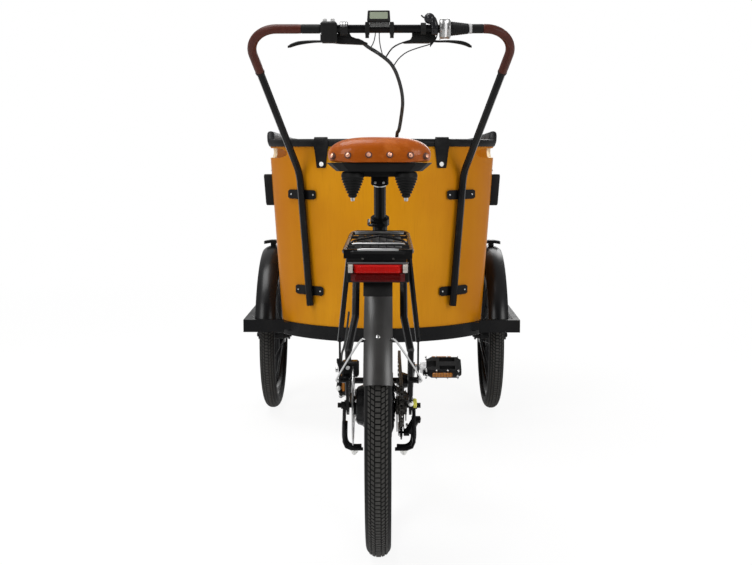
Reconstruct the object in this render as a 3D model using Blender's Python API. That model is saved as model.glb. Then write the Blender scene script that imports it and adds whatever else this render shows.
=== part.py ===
"""Electric cargo tricycle: a varnished plywood box between two front wheels, which
steers as one piece with its handlebar about a kingpin under the floor, and a rear
frame with saddle, cranks, rack, chain and a motor in the rear hub.

Metres, +Y forward, +X the rider's right, +Z up. The origin is on the ground, midway
between the back of the rear tyre and the front of the box's rim.
"""

import math

import bmesh
import bpy
from mathutils import Matrix, Quaternion, Vector

# Layout
WHEELBASE = 1.32
FRONT_OVERHANG = 0.50
FIT_GAP = 0.0003
BOW_GAP = 0.0014
RUNNING_GAP = 0.0005

# Wheels
REAR_TYRE_DIAMETER = 0.66
REAR_TYRE_WIDTH = 0.052
FRONT_TYRE_DIAMETER = 0.508
FRONT_TYRE_WIDTH = 0.050
TYRE_HEIGHT = 0.049
BEAD_DEPTH = 0.008
RIM_WIDTH = 0.030
RIM_DEPTH = 0.022
SPOKE_RADIUS = 0.0013
REAR_SPOKES = 24
FRONT_SPOKES = 16
WHEEL_STEPS = 24
HUB_STEPS = 10
MOTOR_STEPS = 16

# Rear hub
REAR_AXLE_RADIUS = 0.006
MOTOR_RADIUS = 0.062
MOTOR_WIDTH = 0.068
MOTOR_SHOULDER = 0.003
ROTOR_RADIUS = 0.090
ROTOR_THICKNESS = 0.002
ROTOR_BAND = 0.015
ROTOR_BOSS = 0.022
ROTOR_SIDE_GAP = 0.009
FREEWHEEL_BOSS = 0.0145
SPROCKET_SIDE_GAP = 0.0025
LOCK_RING = 0.002
CASSETTE_SIDE_GAP = 0.004
CALIPER_SEAT_DROP = 0.026
GUARD_ROD_RADIUS = 0.0042

# Front hubs
FRONT_HUB_WIDTH = 0.098
FRONT_AXLE_RADIUS = 0.005
AXLE_PLATE_THICKNESS = 0.006
HUB_BOX_GAP = 0.021

# Rear frame
BRACKET_HEIGHT = 0.29
BRACKET_SHELL_RADIUS = 0.021
BRACKET_SHELL_WIDTH = 0.068
SEAT_ANGLE = math.radians(67.0)
SEAT_TUBE_LENGTH = 0.49
SEAT_TUBE_RADIUS = 0.0185
SEAT_POST_RADIUS = 0.015
SEAT_POST_HEIGHT = 0.59
SEAT_POST_LENGTH = 0.33
SEAT_POST_TRAVEL = 0.11
MAIN_TUBE_RADIUS = 0.024
MAIN_TUBE_ELBOW = 0.19
BRACE_RADIUS = 0.016
BRACE_FOOT = 0.25
BRACE_REACH = 0.38
STAY_RADIUS = 0.009
STAY_TOP = 0.375
STAY_TYRE_GAP = 0.032
STAY_TIP_RADIUS = 0.0065
DROPOUT_THICKNESS = 0.006
EYELET_HEIGHT = 0.065
EYELET_SETBACK = 0.030
EYELET_SPACER = 0.011
TUBE_GUARD_GAP = 0.0182
HEAD_RADIUS = 0.028
HEAD_HEIGHT = 0.105
HEAD_CLEARANCE = 0.0252
HEAD_FOOT = 0.035

# Steering
KINGPIN_SETBACK = 0.08
KINGPIN_RADIUS = 0.012

# Cranks, pedals and chain
CRANK_LENGTH = 0.170
CRANK_TILT = math.radians(24.0)
CRANK_THICKNESS = 0.014
CRANK_AXLE_RADIUS = 0.0085
CRANK_RING_GAP = 0.0235
CHAIN_PITCH = 0.0127
CHAIN_HALF_WIDTH = 0.0034
CHAIN_HALF_HEIGHT = 0.0045
CHAIN_SIDE_GAP = 0.0006
SPROCKET_THICKNESS = 0.002
RING_TEETH = 38
SPROCKET_TEETH = (28, 25, 22, 19, 16)
PULLEY_TEETH = 11
PULLEY_GAP = 0.005
PEDAL_NECK = 0.029
PEDAL_LENGTH = 0.087
PEDAL_DEPTH = 0.062
PEDAL_THICKNESS = 0.026
PEDAL_TILT = math.radians(30.0)
KNUCKLE_HALF = 0.0105
HINGE_PIN_RADIUS = 0.0024

# Box
FLOOR_HEIGHT = 0.356
BOX_WALL = 0.012
BOX_DEPTH = 0.559
SIDE_EDGE_RISE = 0.030
BOX_BOTTOM_HALF_WIDTH = 0.310
BOX_TOP_HALF_WIDTH = 0.350
BOX_BACK_REACH = 0.458
BOX_BACK_LEAN = 0.022
BOX_REAR_RADIUS = 0.40
BOX_REAR_CORNER = 0.070
BOX_FRONT_RADIUS = 0.55
BOX_FRONT_CORNER = 0.100
BOX_FRONT_RAKE = 0.12
SEAM_SHARE = 2.55
JOINT_THICKNESS = 0.002
JOINT_HALF_WIDTH = 0.016
RIM_REACH = 0.010
RIM_SKIRT = 0.020
RIM_SEAT_GAP = 0.0010
RIM_LIFT = 0.0018
STRAP_INSET = 0.166
HANDHOLD_HALF_HEIGHT = 0.018
HANDHOLD_DROP = 0.005

# Chassis
BAR_WIDTH = 0.020
NEAR_BAR_HEIGHT = 0.040
SIDE_BAR_HEIGHT = 0.0235
BAND_HEIGHT = 0.0255
CAGE_TYRE_GAP = 0.066
RUNNER_X = 0.19

# Handlebar
BAR_RADIUS = 0.0111
BAR_REACH = 0.295
BAR_RISE = 0.316
BAR_CORNER_OUT = 0.023
BAR_LOW_INSET = 0.0876
BAR_LOW_RISE = 0.064
BAR_KNEE_INSET = 0.0965
BAR_KNEE_DROP = 0.083
BAR_BEND_RADIUS = 0.072
BAR_SIDES = 8
BEND_STEPS = 5
PLATE_THICKNESS = 0.004
PLATE_HALF_WIDTH = 0.046
PLATE_HALF_HEIGHT = 0.0145
LOW_PLATE_RISE = 0.046
HIGH_PLATE_DROP = 0.066
GRIP_WALL = 0.0024
GRIP_ARM_RUN = 0.060
LEFT_GRIP_RUN = 0.0776
RIGHT_GRIP_RUN = 0.0026

# Controls on the bar
CLAMP_WALL = 0.0055
LEFT_LEVER_X = 0.092
RIGHT_LEVER_X = 0.108
LEFT_LEVER_TIP = 0.257
RIGHT_LEVER_TIP = 0.250
LEVER_PIVOT_AHEAD = 0.030
LEVER_DROP = 0.027
LEVER_ROOT_RADIUS = 0.0045
SHIFTER_START = 0.1585
SHIFTER_HOUSING_LENGTH = 0.030
SHIFTER_GRIP_LENGTH = 0.049
SHIFTER_RADIUS = 0.027
BELL_X = 0.136
BELL_RADIUS = 0.0155

# Saddle
SADDLE_BEHIND_POST = 0.1795
SADDLE_LENGTH = 0.275
SADDLE_HALF_WIDTH = 0.125
LEATHER_RISE = 0.0439
LEATHER_THICKNESS = 0.068
SADDLE_BASE_HEIGHT = 0.019
SPRING_X = 0.061
SPRING_HEIGHT = 0.060
SPRING_RADIUS = 0.021

# Rack, light and mudguards
GUARD_CLEARANCE = 0.0105
GUARD_THICKNESS = 0.003
GUARD_CROWN = 0.19
REAR_GUARD_OVERHANG = 0.003
FRONT_GUARD_OVERHANG = 0.007
FRONT_GUARD_CLEARANCE = 0.040
DECK_RISE = 0.0345
DECK_BACK_INSET = 0.032
DECK_TUBE_GAP = 0.0425
DECK_HALF_WIDTH = 0.066
RAIL_RADIUS = 0.005
LEG_PLATE = 0.004
STAY_ROD_RADIUS = 0.0022
LIGHT_WIDTH = 0.122
LIGHT_HEIGHT = 0.034
LIGHT_DROP = 0.024
LIGHT_DEPTH = 0.010

# Bench, battery and pole holders
BENCH_RISE = 0.229
BENCH_THICKNESS = 0.015
BENCH_SETBACK = 0.208
BENCH_DEPTH = 0.27
BENCH_SIDE_GAP = 0.0144
BATTERY_LENGTH = 0.30
BATTERY_WIDTH = 0.11
BATTERY_HEIGHT = 0.090
HOLDER_HEIGHT = 0.100
HOLDER_DEPTH = 0.028
HOLDER_DROP = 0.221
HOLDER_BEHIND_AXLE = 0.215

# Wheels and length, worked out from the sizes above
REAR_RADIUS = REAR_TYRE_DIAMETER / 2
FRONT_RADIUS = FRONT_TYRE_DIAMETER / 2
TYRE_SEAT_DEPTH = TYRE_HEIGHT - BEAD_DEPTH
OVERALL_LENGTH = REAR_RADIUS + WHEELBASE + FRONT_OVERHANG
REAR_AXLE_Y = REAR_RADIUS - OVERALL_LENGTH / 2

# Places across the rear hub: sprockets, fork ends, rotor and cranks
SPROCKET_PITCH_X = CHAIN_HALF_WIDTH + SPROCKET_THICKNESS / 2 + CHAIN_SIDE_GAP
FIRST_SPROCKET_X = MOTOR_WIDTH / 2 + MOTOR_SHOULDER + SPROCKET_SIDE_GAP + SPROCKET_THICKNESS / 2
CHAIN_LINE = FIRST_SPROCKET_X + 2 * SPROCKET_PITCH_X
CASSETTE_END = CHAIN_LINE + 2 * SPROCKET_PITCH_X + SPROCKET_THICKNESS / 2 + LOCK_RING
REAR_DROPOUT_WIDTH = 2 * (CASSETTE_END + CASSETTE_SIDE_GAP)
DROPOUT_X = (REAR_DROPOUT_WIDTH + DROPOUT_THICKNESS) / 2
ROTOR_OFFSET = REAR_DROPOUT_WIDTH / 2 - ROTOR_SIDE_GAP
CALIPER_SEAT_RADIUS = ROTOR_RADIUS - CALIPER_SEAT_DROP
CRANK_INNER_X = CHAIN_LINE + CRANK_RING_GAP
CRANK_FACE_X = CRANK_INNER_X + CRANK_THICKNESS

# The seat tube clears the mudguard, which sets how far ahead the cranks are
TUBE_TO_AXLE = REAR_RADIUS + GUARD_CLEARANCE + GUARD_THICKNESS + TUBE_GUARD_GAP + SEAT_TUBE_RADIUS
BRACKET_AHEAD = (TUBE_TO_AXLE + (REAR_RADIUS - BRACKET_HEIGHT) * math.cos(SEAT_ANGLE)) / math.sin(SEAT_ANGLE)
STAY_SPREAD = REAR_TYRE_WIDTH / 2 + STAY_TYRE_GAP

# Front axle, box and chassis
PIVOT_AHEAD = WHEELBASE - KINGPIN_SETBACK
HALF_TRACK = BOX_BOTTOM_HALF_WIDTH + HUB_BOX_GAP + FRONT_HUB_WIDTH / 2
AXLE_PLATE_OFFSET = FRONT_HUB_WIDTH / 2 + RUNNING_GAP + AXLE_PLATE_THICKNESS / 2
HALF_WIDTH = HALF_TRACK + AXLE_PLATE_OFFSET + BAR_WIDTH / 2
BOX_REAR_BOTTOM = WHEELBASE - BOX_BACK_REACH
BOX_REAR_TOP = BOX_REAR_BOTTOM - BOX_BACK_LEAN
BOX_FRONT_TOP = WHEELBASE + FRONT_OVERHANG - RIM_REACH
BOX_REAR_EDGE = FLOOR_HEIGHT + BOX_DEPTH
BOX_SIDE_EDGE = BOX_REAR_EDGE + SIDE_EDGE_RISE
BAND_TOP = FLOOR_HEIGHT - FIT_GAP
BAND_BOTTOM = BAND_TOP - BAND_HEIGHT
HEAD_BOTTOM = BAND_BOTTOM - HEAD_CLEARANCE - HEAD_HEIGHT
MAIN_TUBE_HEIGHT = HEAD_BOTTOM + HEAD_FOOT
BENCH_HEIGHT = FLOOR_HEIGHT + BENCH_RISE
BENCH_BACK = BOX_REAR_BOTTOM + BENCH_SETBACK
HOLDER_FOOT = BOX_SIDE_EDGE - HOLDER_DROP
HOLDER_AHEAD = WHEELBASE - HOLDER_BEHIND_AXLE

# Handlebar, rack and mudguards
BAR_AHEAD = BOX_REAR_TOP - BAR_REACH
BAR_HEIGHT = BOX_REAR_EDGE + BAR_RISE
BAR_CORNER_X = BOX_TOP_HALF_WIDTH + BAR_CORNER_OUT
BAR_LOW_X = BOX_BOTTOM_HALF_WIDTH - BAR_LOW_INSET
BAR_LOW_HEIGHT = FLOOR_HEIGHT + BAR_LOW_RISE
BAR_KNEE_X = BOX_TOP_HALF_WIDTH - BAR_KNEE_INSET
BAR_KNEE_HEIGHT = BOX_REAR_EDGE - BAR_KNEE_DROP
PLATE_HEIGHTS = (BAR_LOW_HEIGHT + LOW_PLATE_RISE, BAR_KNEE_HEIGHT - HIGH_PLATE_DROP)
STRAP_X = BOX_TOP_HALF_WIDTH - STRAP_INSET
DECK_HEIGHT = REAR_TYRE_DIAMETER + GUARD_CLEARANCE + GUARD_THICKNESS + DECK_RISE
TUBE_AHEAD_AT_DECK = BRACKET_AHEAD - (DECK_HEIGHT - BRACKET_HEIGHT) / math.tan(SEAT_ANGLE)
DECK_FRONT = TUBE_AHEAD_AT_DECK - SEAT_TUBE_RADIUS / math.sin(SEAT_ANGLE) - DECK_TUBE_GAP
DECK_BACK = DECK_BACK_INSET - REAR_RADIUS
LIGHT_TOP = DECK_HEIGHT - LIGHT_DROP
REAR_GUARD_WIDTH = REAR_TYRE_WIDTH + 2 * REAR_GUARD_OVERHANG
FRONT_GUARD_WIDTH = FRONT_TYRE_WIDTH + 2 * FRONT_GUARD_OVERHANG


def at(x, ahead, z):
    """A point given by its side offset, its distance ahead of the rear axle and its height."""
    return Vector((x, REAR_AXLE_Y + ahead, z))


REAR_AXLE = at(0, 0, REAR_RADIUS)
BRACKET = at(0, BRACKET_AHEAD, BRACKET_HEIGHT)
SEAT_AXIS = Vector((0, -math.cos(SEAT_ANGLE), math.sin(SEAT_ANGLE)))


# Tools for making solids


def clear_scene():
    for item in list(bpy.data.objects):
        bpy.data.objects.remove(item)


def paint(name, colour, roughness, metallic=0.0):
    material = bpy.data.materials.get(name) or bpy.data.materials.new(name)
    material.use_nodes = True
    shader = material.node_tree.nodes["Principled BSDF"]
    shader.inputs["Base Color"].default_value = (*colour, 1.0)
    shader.inputs["Roughness"].default_value = roughness
    shader.inputs["Metallic"].default_value = metallic
    return material


def black_paint():
    return paint("black_paint", (0.012, 0.012, 0.014), 0.32)


def black_plastic():
    return paint("black_plastic", (0.02, 0.02, 0.022), 0.5)


def steel():
    return paint("steel", (0.62, 0.62, 0.64), 0.28, 1.0)


def varnished_plywood():
    return paint("varnished_plywood", (0.72, 0.33, 0.03), 0.25)


def tan_leather():
    return paint("tan_leather", (0.50, 0.17, 0.04), 0.35)


def tyre_rubber():
    return paint("tyre_rubber", (0.02, 0.02, 0.02), 0.75)


def made(name, mesh, material, sharp_degrees=38):
    """Turn a bmesh into a named object with its material, shaded smooth between sharp edges."""
    data = bpy.data.meshes.new(name)
    mesh.to_mesh(data)
    mesh.free()
    data.shade_smooth()
    data.set_sharp_from_angle(angle=math.radians(sharp_degrees))
    data.materials.append(material)
    item = bpy.data.objects.new(name, data)
    bpy.context.scene.collection.objects.link(item)
    return item


def hang_from(item, pivot, name):
    """Parent an object to an empty on its joint's axis, without moving it."""
    empty = bpy.data.objects.get(name)
    if empty is None:
        empty = bpy.data.objects.new(name, None)
        empty.location = pivot
        bpy.context.scene.collection.objects.link(empty)
    item.parent = empty
    item.matrix_parent_inverse = Matrix.Translation(-pivot)


def loft(rings, closed=False):
    """Skin rings of equal length; the ends are capped unless the last ring meets the first."""
    mesh = bmesh.new()
    rows = [[mesh.verts.new(point) for point in ring] for ring in rings]
    pairs = list(zip(rows, rows[1:]))
    if closed:
        pairs.append((rows[-1], rows[0]))
    for row, following in pairs:
        for i in range(len(row)):
            j = (i + 1) % len(row)
            mesh.faces.new((row[i], row[j], following[j], following[i]))
    if not closed:
        mesh.faces.new(rows[0])
        mesh.faces.new(rows[-1])
    bmesh.ops.recalc_face_normals(mesh, faces=mesh.faces)
    return mesh


def circle(centre, side, up, radius, sides, start=0.0):
    """Points round a circle in the plane of two unit vectors."""
    turns = [start + math.tau * i / sides for i in range(sides)]
    return [centre + (side * math.cos(a) + up * math.sin(a)) * radius for a in turns]


def carried_frames(path):
    """A side and an up vector at each point of a path, carried along it without twist."""
    last = len(path) - 1
    ways = [(path[min(i + 1, last)] - path[max(i - 1, 0)]).normalized() for i in range(last + 1)]
    side = ways[0].orthogonal().normalized()
    frames = []
    for i, way in enumerate(ways):
        if i:
            side = ways[i - 1].rotation_difference(way) @ side
        frames.append((side, way.cross(side)))
    return frames


def tube(path, radius, sides=8):
    """A round bar along a path; radius is one number or one for each point."""
    radii = radius if isinstance(radius, (list, tuple)) else [radius] * len(path)
    frames = carried_frames(path)
    rings = [circle(p, *frame, r, sides) for p, frame, r in zip(path, frames, radii)]
    return loft(rings)


def sleeve(path, frames, inner, outer, sides=8):
    """A hollow tube along part of another tube's path, with the same corners round it."""
    rings = [circle(p, *frame, outer, sides) for p, frame in zip(path, frames)]
    rings += [circle(p, *frame, inner, sides) for p, frame in zip(path[::-1], frames[::-1])]
    return loft(rings, closed=True)


def rounded_path(corners, radius, steps=4):
    """A path through corners, with each inner corner replaced by an arc."""
    path = [corners[0]]
    for before, corner, after in zip(corners, corners[1:], corners[2:]):
        back, on = (before - corner).normalized(), (after - corner).normalized()
        half = back.angle(on) / 2
        centre = corner + (back + on).normalized() * radius / math.sin(half)
        start = corner + back * radius / math.tan(half) - centre
        end = corner + on * radius / math.tan(half) - centre
        axis = start.cross(end).normalized()
        sweep = math.pi - 2 * half
        path += [centre + Quaternion(axis, sweep * i / steps) @ start for i in range(steps + 1)]
    return path + [corners[-1]]


def spindle(profile, origin, direction, sides=12):
    """A turned solid from (distance along, radius) pairs."""
    way = direction.normalized()
    side = way.orthogonal().normalized()
    up = way.cross(side)
    return loft([circle(origin + way * along, side, up, r, sides) for along, r in profile])


def turned(profile, centre, steps=WHEEL_STEPS):
    """A ring turned round the X axis through a point, from a closed (x, radius) outline."""
    rings = []
    for i in range(steps):
        angle = math.tau * i / steps
        out = Vector((0, math.cos(angle), math.sin(angle)))
        rings.append([centre + Vector((x, 0, 0)) + out * r for x, r in profile])
    return loft(rings, closed=True)


def bore(radius, sides, gap=FIT_GAP):
    """The corner radius of a many-sided hole whose flats stay clear of a bar."""
    return (radius + gap) / math.cos(math.pi / sides)


def slab(outline, normal, thickness):
    """A plate: an outline of points pushed along a unit normal, half each way."""
    push = normal * (thickness / 2)
    return loft([[p - push for p in outline], [p + push for p in outline]])


def block(low, high, bevel=0.0):
    """A box between two corners, with all its edges bevelled when a width is given."""
    mesh = bmesh.new()
    bmesh.ops.create_cube(mesh, size=1.0)
    size = high - low
    for vert in mesh.verts:
        vert.co = low + Vector([size[i] * (vert.co[i] + 0.5) for i in range(3)])
    if bevel:
        edges = list(mesh.edges)
        bmesh.ops.bevel(mesh, geom=edges, offset=bevel, segments=1, affect="EDGES")
    return mesh


def span(first, second):
    """A box between any two opposite corners."""
    return block(Vector(map(min, first, second)), Vector(map(max, first, second)))


def capsule_outline(first, second, side, radius, steps=4):
    """An outline with round ends about two points, in the plane of their line and a side vector."""
    way = (second - first).normalized()
    points = []
    for centre, sign in ((second, 1), (first, -1)):
        for i in range(steps + 1):
            angle = math.pi * (i / steps - 0.5)
            points.append(centre + (way * math.cos(angle) + side * math.sin(angle)) * radius * sign)
    return points


def combined(operation, base, tools):
    """Join tools to a base, or cut them from it, with one exact Boolean."""
    scene = bpy.context.scene.collection
    group = bpy.data.collections.new("tools")
    items = []
    for mesh in [base, *tools]:
        data = bpy.data.meshes.new("piece")
        mesh.to_mesh(data)
        mesh.free()
        items.append(bpy.data.objects.new("piece", data))
        scene.objects.link(items[-1])
    for item in items[1:]:
        group.objects.link(item)
    change = items[0].modifiers.new("combine", "BOOLEAN")
    change.operation = operation
    change.operand_type = "COLLECTION"
    change.collection = group
    result = bmesh.new()
    result.from_object(items[0], bpy.context.evaluated_depsgraph_get())
    for item in items:
        data = item.data
        bpy.data.objects.remove(item)
        bpy.data.meshes.remove(data)
    bpy.data.collections.remove(group)
    return result


def welded(pieces):
    return combined("UNION", pieces[0], pieces[1:])


def cut(base, tools):
    return combined("DIFFERENCE", base, tools)


def mirrored(mesh):
    """The same solid on the other side of the bike."""
    other = mesh.copy()
    bmesh.ops.scale(other, vec=Vector((-1, 1, 1)), verts=other.verts)
    bmesh.ops.reverse_faces(other, faces=other.faces)
    return other


def moved(mesh, matrix):
    bmesh.ops.transform(mesh, matrix=matrix, verts=mesh.verts)
    return mesh


def turn_about(point, angle, axis):
    """A rotation about an axis through a point."""
    return Matrix.Translation(point) @ Matrix.Rotation(angle, 4, axis) @ Matrix.Translation(-point)


# Wheels


def tyre_mesh(centre, outer_radius, width):
    """A tyre's round section, open at its beads, turned about the axle."""
    middle = outer_radius - TYRE_HEIGHT / 2
    seat = outer_radius - TYRE_SEAT_DEPTH
    steep = math.acos((seat - middle) / (TYRE_HEIGHT / 2))
    section = []
    for i in range(7):
        angle = steep * (i / 3 - 1)
        section.append((math.sin(angle) * width / 2, middle + math.cos(angle) * TYRE_HEIGHT / 2))
    return turned(section, centre)


def rim_section(seat_radius):
    outer = seat_radius - FIT_GAP
    inner = outer - RIM_DEPTH
    half = RIM_WIDTH / 2
    shoulder = outer - RIM_DEPTH * 0.55
    return [(-half, outer), (half, outer), (half, shoulder), (0, inner), (-half, shoulder)]


def spoke_meshes(centre, count, flange_x, flange_radius, rim_radius):
    """Crossed spokes from two flanges to the middle of the rim."""
    spokes = []
    spacing = math.tau / (count / 2)
    for i in range(count):
        sign = 1 if i % 2 else -1
        lead = 1 if (i // 2) % 2 else -1
        at_rim = math.tau * i / count
        at_hub = at_rim - lead * spacing
        hub = Vector((sign * (flange_x + lead * SPOKE_RADIUS), 0, 0))
        hub += Vector((0, math.cos(at_hub), math.sin(at_hub))) * flange_radius
        rim = Vector((sign * SPOKE_RADIUS, 0, 0))
        rim += Vector((0, math.cos(at_rim), math.sin(at_rim))) * rim_radius
        spokes.append(tube([centre + hub, centre + rim], SPOKE_RADIUS, sides=3))
    return spokes


def rear_wheel():
    tyre = tyre_mesh(REAR_AXLE, REAR_RADIUS, REAR_TYRE_WIDTH)
    seat = REAR_RADIUS - TYRE_SEAT_DEPTH
    flange_x = MOTOR_WIDTH / 2 - 0.008
    flange_inner = bore(MOTOR_RADIUS, MOTOR_STEPS)
    flange_outer = flange_inner + 0.010
    pieces = [turned(rim_section(seat), REAR_AXLE)]
    for side in (-1, 1):
        low, high = flange_x * side - 0.003, flange_x * side + 0.003
        ring = [(low, flange_inner), (low, flange_outer), (high, flange_outer), (high, flange_inner)]
        pieces.append(turned(ring, REAR_AXLE, MOTOR_STEPS))
    rim_middle = seat - RIM_DEPTH * 0.7
    pieces += spoke_meshes(REAR_AXLE, REAR_SPOKES, flange_x, flange_inner + 0.005, rim_middle)
    items = [
        made("rear_tyre", tyre, tyre_rubber()),
        made("rear_rim_and_spokes", welded(pieces), black_paint()),
        made("hub_motor", motor_mesh(), black_paint()),
        made("rear_brake_rotor", rotor_mesh(), steel()),
    ]
    for item in items:
        hang_from(item, REAR_AXLE, "rear_wheel_axis")


def motor_mesh():
    """The motor's drum, with a boss for the rotor on the left and for the sprockets on the right."""
    half, hole = MOTOR_WIDTH / 2, bore(REAR_AXLE_RADIUS, MOTOR_STEPS, RUNNING_GAP)
    profile = [
        (-ROTOR_OFFSET - 0.004, hole), (-ROTOR_OFFSET - 0.004, ROTOR_BOSS),
        (-half - MOTOR_SHOULDER, ROTOR_BOSS),
        (-half, MOTOR_RADIUS - 0.012), (-half + 0.004, MOTOR_RADIUS), (half - 0.004, MOTOR_RADIUS),
        (half, MOTOR_RADIUS - 0.012), (half + MOTOR_SHOULDER, FREEWHEEL_BOSS),
        (CASSETTE_END, FREEWHEEL_BOSS), (CASSETTE_END, hole),
    ]
    return turned(profile, REAR_AXLE, MOTOR_STEPS)


def rotor_mesh():
    """The brake disc: a ring with a carrier of five swept arms."""
    thick = ROTOR_THICKNESS / 2
    hole = bore(ROTOR_BOSS, HUB_STEPS)
    centre = REAR_AXLE - Vector((ROTOR_OFFSET, 0, 0))

    def washer(inner, outer, steps):
        return turned([(-thick, inner), (-thick, outer), (thick, outer), (thick, inner)], centre, steps)

    band = washer(ROTOR_RADIUS - ROTOR_BAND, ROTOR_RADIUS, 2 * HUB_STEPS)
    pieces = [band, washer(hole, hole + 0.008, HUB_STEPS)]
    for i in range(5):
        start, end = math.tau * i / 5, math.tau * (i + 0.8) / 5
        low = centre + Vector((0, math.cos(start), math.sin(start))) * (hole + 0.004)
        high = centre + Vector((0, math.cos(end), math.sin(end))) * (ROTOR_RADIUS - ROTOR_BAND * 0.7)
        side = (high - low).normalized().cross(Vector((1, 0, 0))) * 0.004
        arm = [low - side, low + side, high + side, high - side]
        pieces.append(slab(arm, Vector((1, 0, 0)), ROTOR_THICKNESS * 0.9))
    return welded(pieces)


def pitch_radius(teeth):
    return CHAIN_PITCH / (2 * math.sin(math.pi / teeth))


def sprocket_outline(centre, teeth):
    """Pointed teeth round a sprocket, two points to a tooth."""
    tip = pitch_radius(teeth) - 0.0010
    points = []
    for i in range(2 * teeth):
        angle = math.tau * i / (2 * teeth)
        radius = tip if i % 2 else tip - 0.0038
        points.append(centre + Vector((0, math.cos(angle), math.sin(angle))) * radius)
    return points


def cassette():
    """Five sprockets on the freewheel; the chain runs on the middle one, which has its teeth."""
    across = Vector((1, 0, 0))
    hole = bore(FREEWHEEL_BOSS, MOTOR_STEPS, RUNNING_GAP)
    collar = hole + 0.006
    half = SPROCKET_THICKNESS / 2
    profile = [(FIRST_SPROCKET_X - half, hole)]
    for i, teeth in enumerate(SPROCKET_TEETH):
        x = FIRST_SPROCKET_X + i * SPROCKET_PITCH_X
        if teeth != SPROCKET_TEETH[2]:
            radius = pitch_radius(teeth)
            profile += [(x - half, collar), (x - half, radius), (x + half, radius), (x + half, collar)]
    profile += [(FIRST_SPROCKET_X + 4 * SPROCKET_PITCH_X + half, hole)]
    body = turned(profile, REAR_AXLE, 12)
    middle = REAR_AXLE + across * CHAIN_LINE
    toothed = slab(sprocket_outline(middle, SPROCKET_TEETH[2]), across, SPROCKET_THICKNESS)
    centre_hole = spindle([(-0.01, collar - 0.002), (0.01, collar - 0.002)], middle, across, 8)
    toothed = cut(toothed, [centre_hole])
    item = made("cassette", welded([body, toothed]), steel())
    hang_from(item, REAR_AXLE, "cassette_axis")


def front_wheel(name, side):
    axle = at(side * HALF_TRACK, WHEELBASE, FRONT_RADIUS)
    seat = FRONT_RADIUS - TYRE_SEAT_DEPTH
    half = FRONT_HUB_WIDTH / 2
    hole = bore(FRONT_AXLE_RADIUS, HUB_STEPS, RUNNING_GAP)
    flange = half - 0.014
    hub = turned([
        (-half, hole), (-half, 0.013), (-flange - 0.003, 0.026), (-flange + 0.001, 0.027),
        (-flange + 0.005, 0.016), (flange - 0.005, 0.016), (flange - 0.001, 0.027),
        (flange + 0.003, 0.026), (half, 0.013), (half, hole),
    ], axle, HUB_STEPS)
    rim_middle = seat - RIM_DEPTH * 0.7
    pieces = [turned(rim_section(seat), axle), hub]
    pieces += spoke_meshes(axle, FRONT_SPOKES, flange - SPOKE_RADIUS / 2, 0.023, rim_middle)
    tyre = tyre_mesh(axle, FRONT_RADIUS, FRONT_TYRE_WIDTH)
    for item in (
        made(f"{name}_front_tyre", tyre, tyre_rubber()),
        made(f"{name}_front_wheel", welded(pieces), black_paint()),
    ):
        hang_from(item, axle, f"{name}_front_wheel_axis")


# Rear frame


def seat_point(height):
    """A point on the seat tube's axis, by its distance from the bottom bracket."""
    return BRACKET + SEAT_AXIS * height


def eyelet(side):
    """The face of the spacer where the rack's leg and the mudguard's stay are bolted on."""
    out = DROPOUT_X + DROPOUT_THICKNESS / 2 + EYELET_SPACER
    return REAR_AXLE + Vector((side * out, -EYELET_SETBACK, EYELET_HEIGHT))


def dropout_meshes(side):
    """A fork end: a plate round the axle with an arm up to the eyelet, and the spacer on it."""
    across = Vector((1, 0, 0))
    middle = REAR_AXLE + Vector((side * DROPOUT_X, 0, 0))
    back, high = -EYELET_SETBACK, EYELET_HEIGHT
    shape = [(-0.020, -0.010), (0.000, -0.022), (0.026, -0.016), (0.042, -0.002), (0.030, 0.026),
             (0.012, 0.030), (-0.010, 0.030), (back + 0.008, high), (back + 0.004, high + 0.008),
             (back - 0.004, high + 0.008), (back - 0.008, high)]
    plate = slab([middle + Vector((0, y, z)) for y, z in shape], across, DROPOUT_THICKNESS)
    spacer = spindle([(0, 0.007), (EYELET_SPACER + 0.002, 0.007)], eyelet(side), across * -side, 8)
    return [plate, spacer]


def caliper_lean():
    """The turn about the axle that sets the brake caliper and its seat a little ahead of upright."""
    return turn_about(REAR_AXLE, math.radians(-3.0), "X")


def caliper_seat():
    """The tab above the left fork end on which the brake caliper stands."""
    x = DROPOUT_X
    low = REAR_AXLE + Vector((-x - DROPOUT_THICKNESS / 2, -0.016, 0.020))
    high = REAR_AXLE + Vector((-x + DROPOUT_THICKNESS / 2, 0.016, CALIPER_SEAT_RADIUS))
    return moved(block(low, high), caliper_lean())


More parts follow.
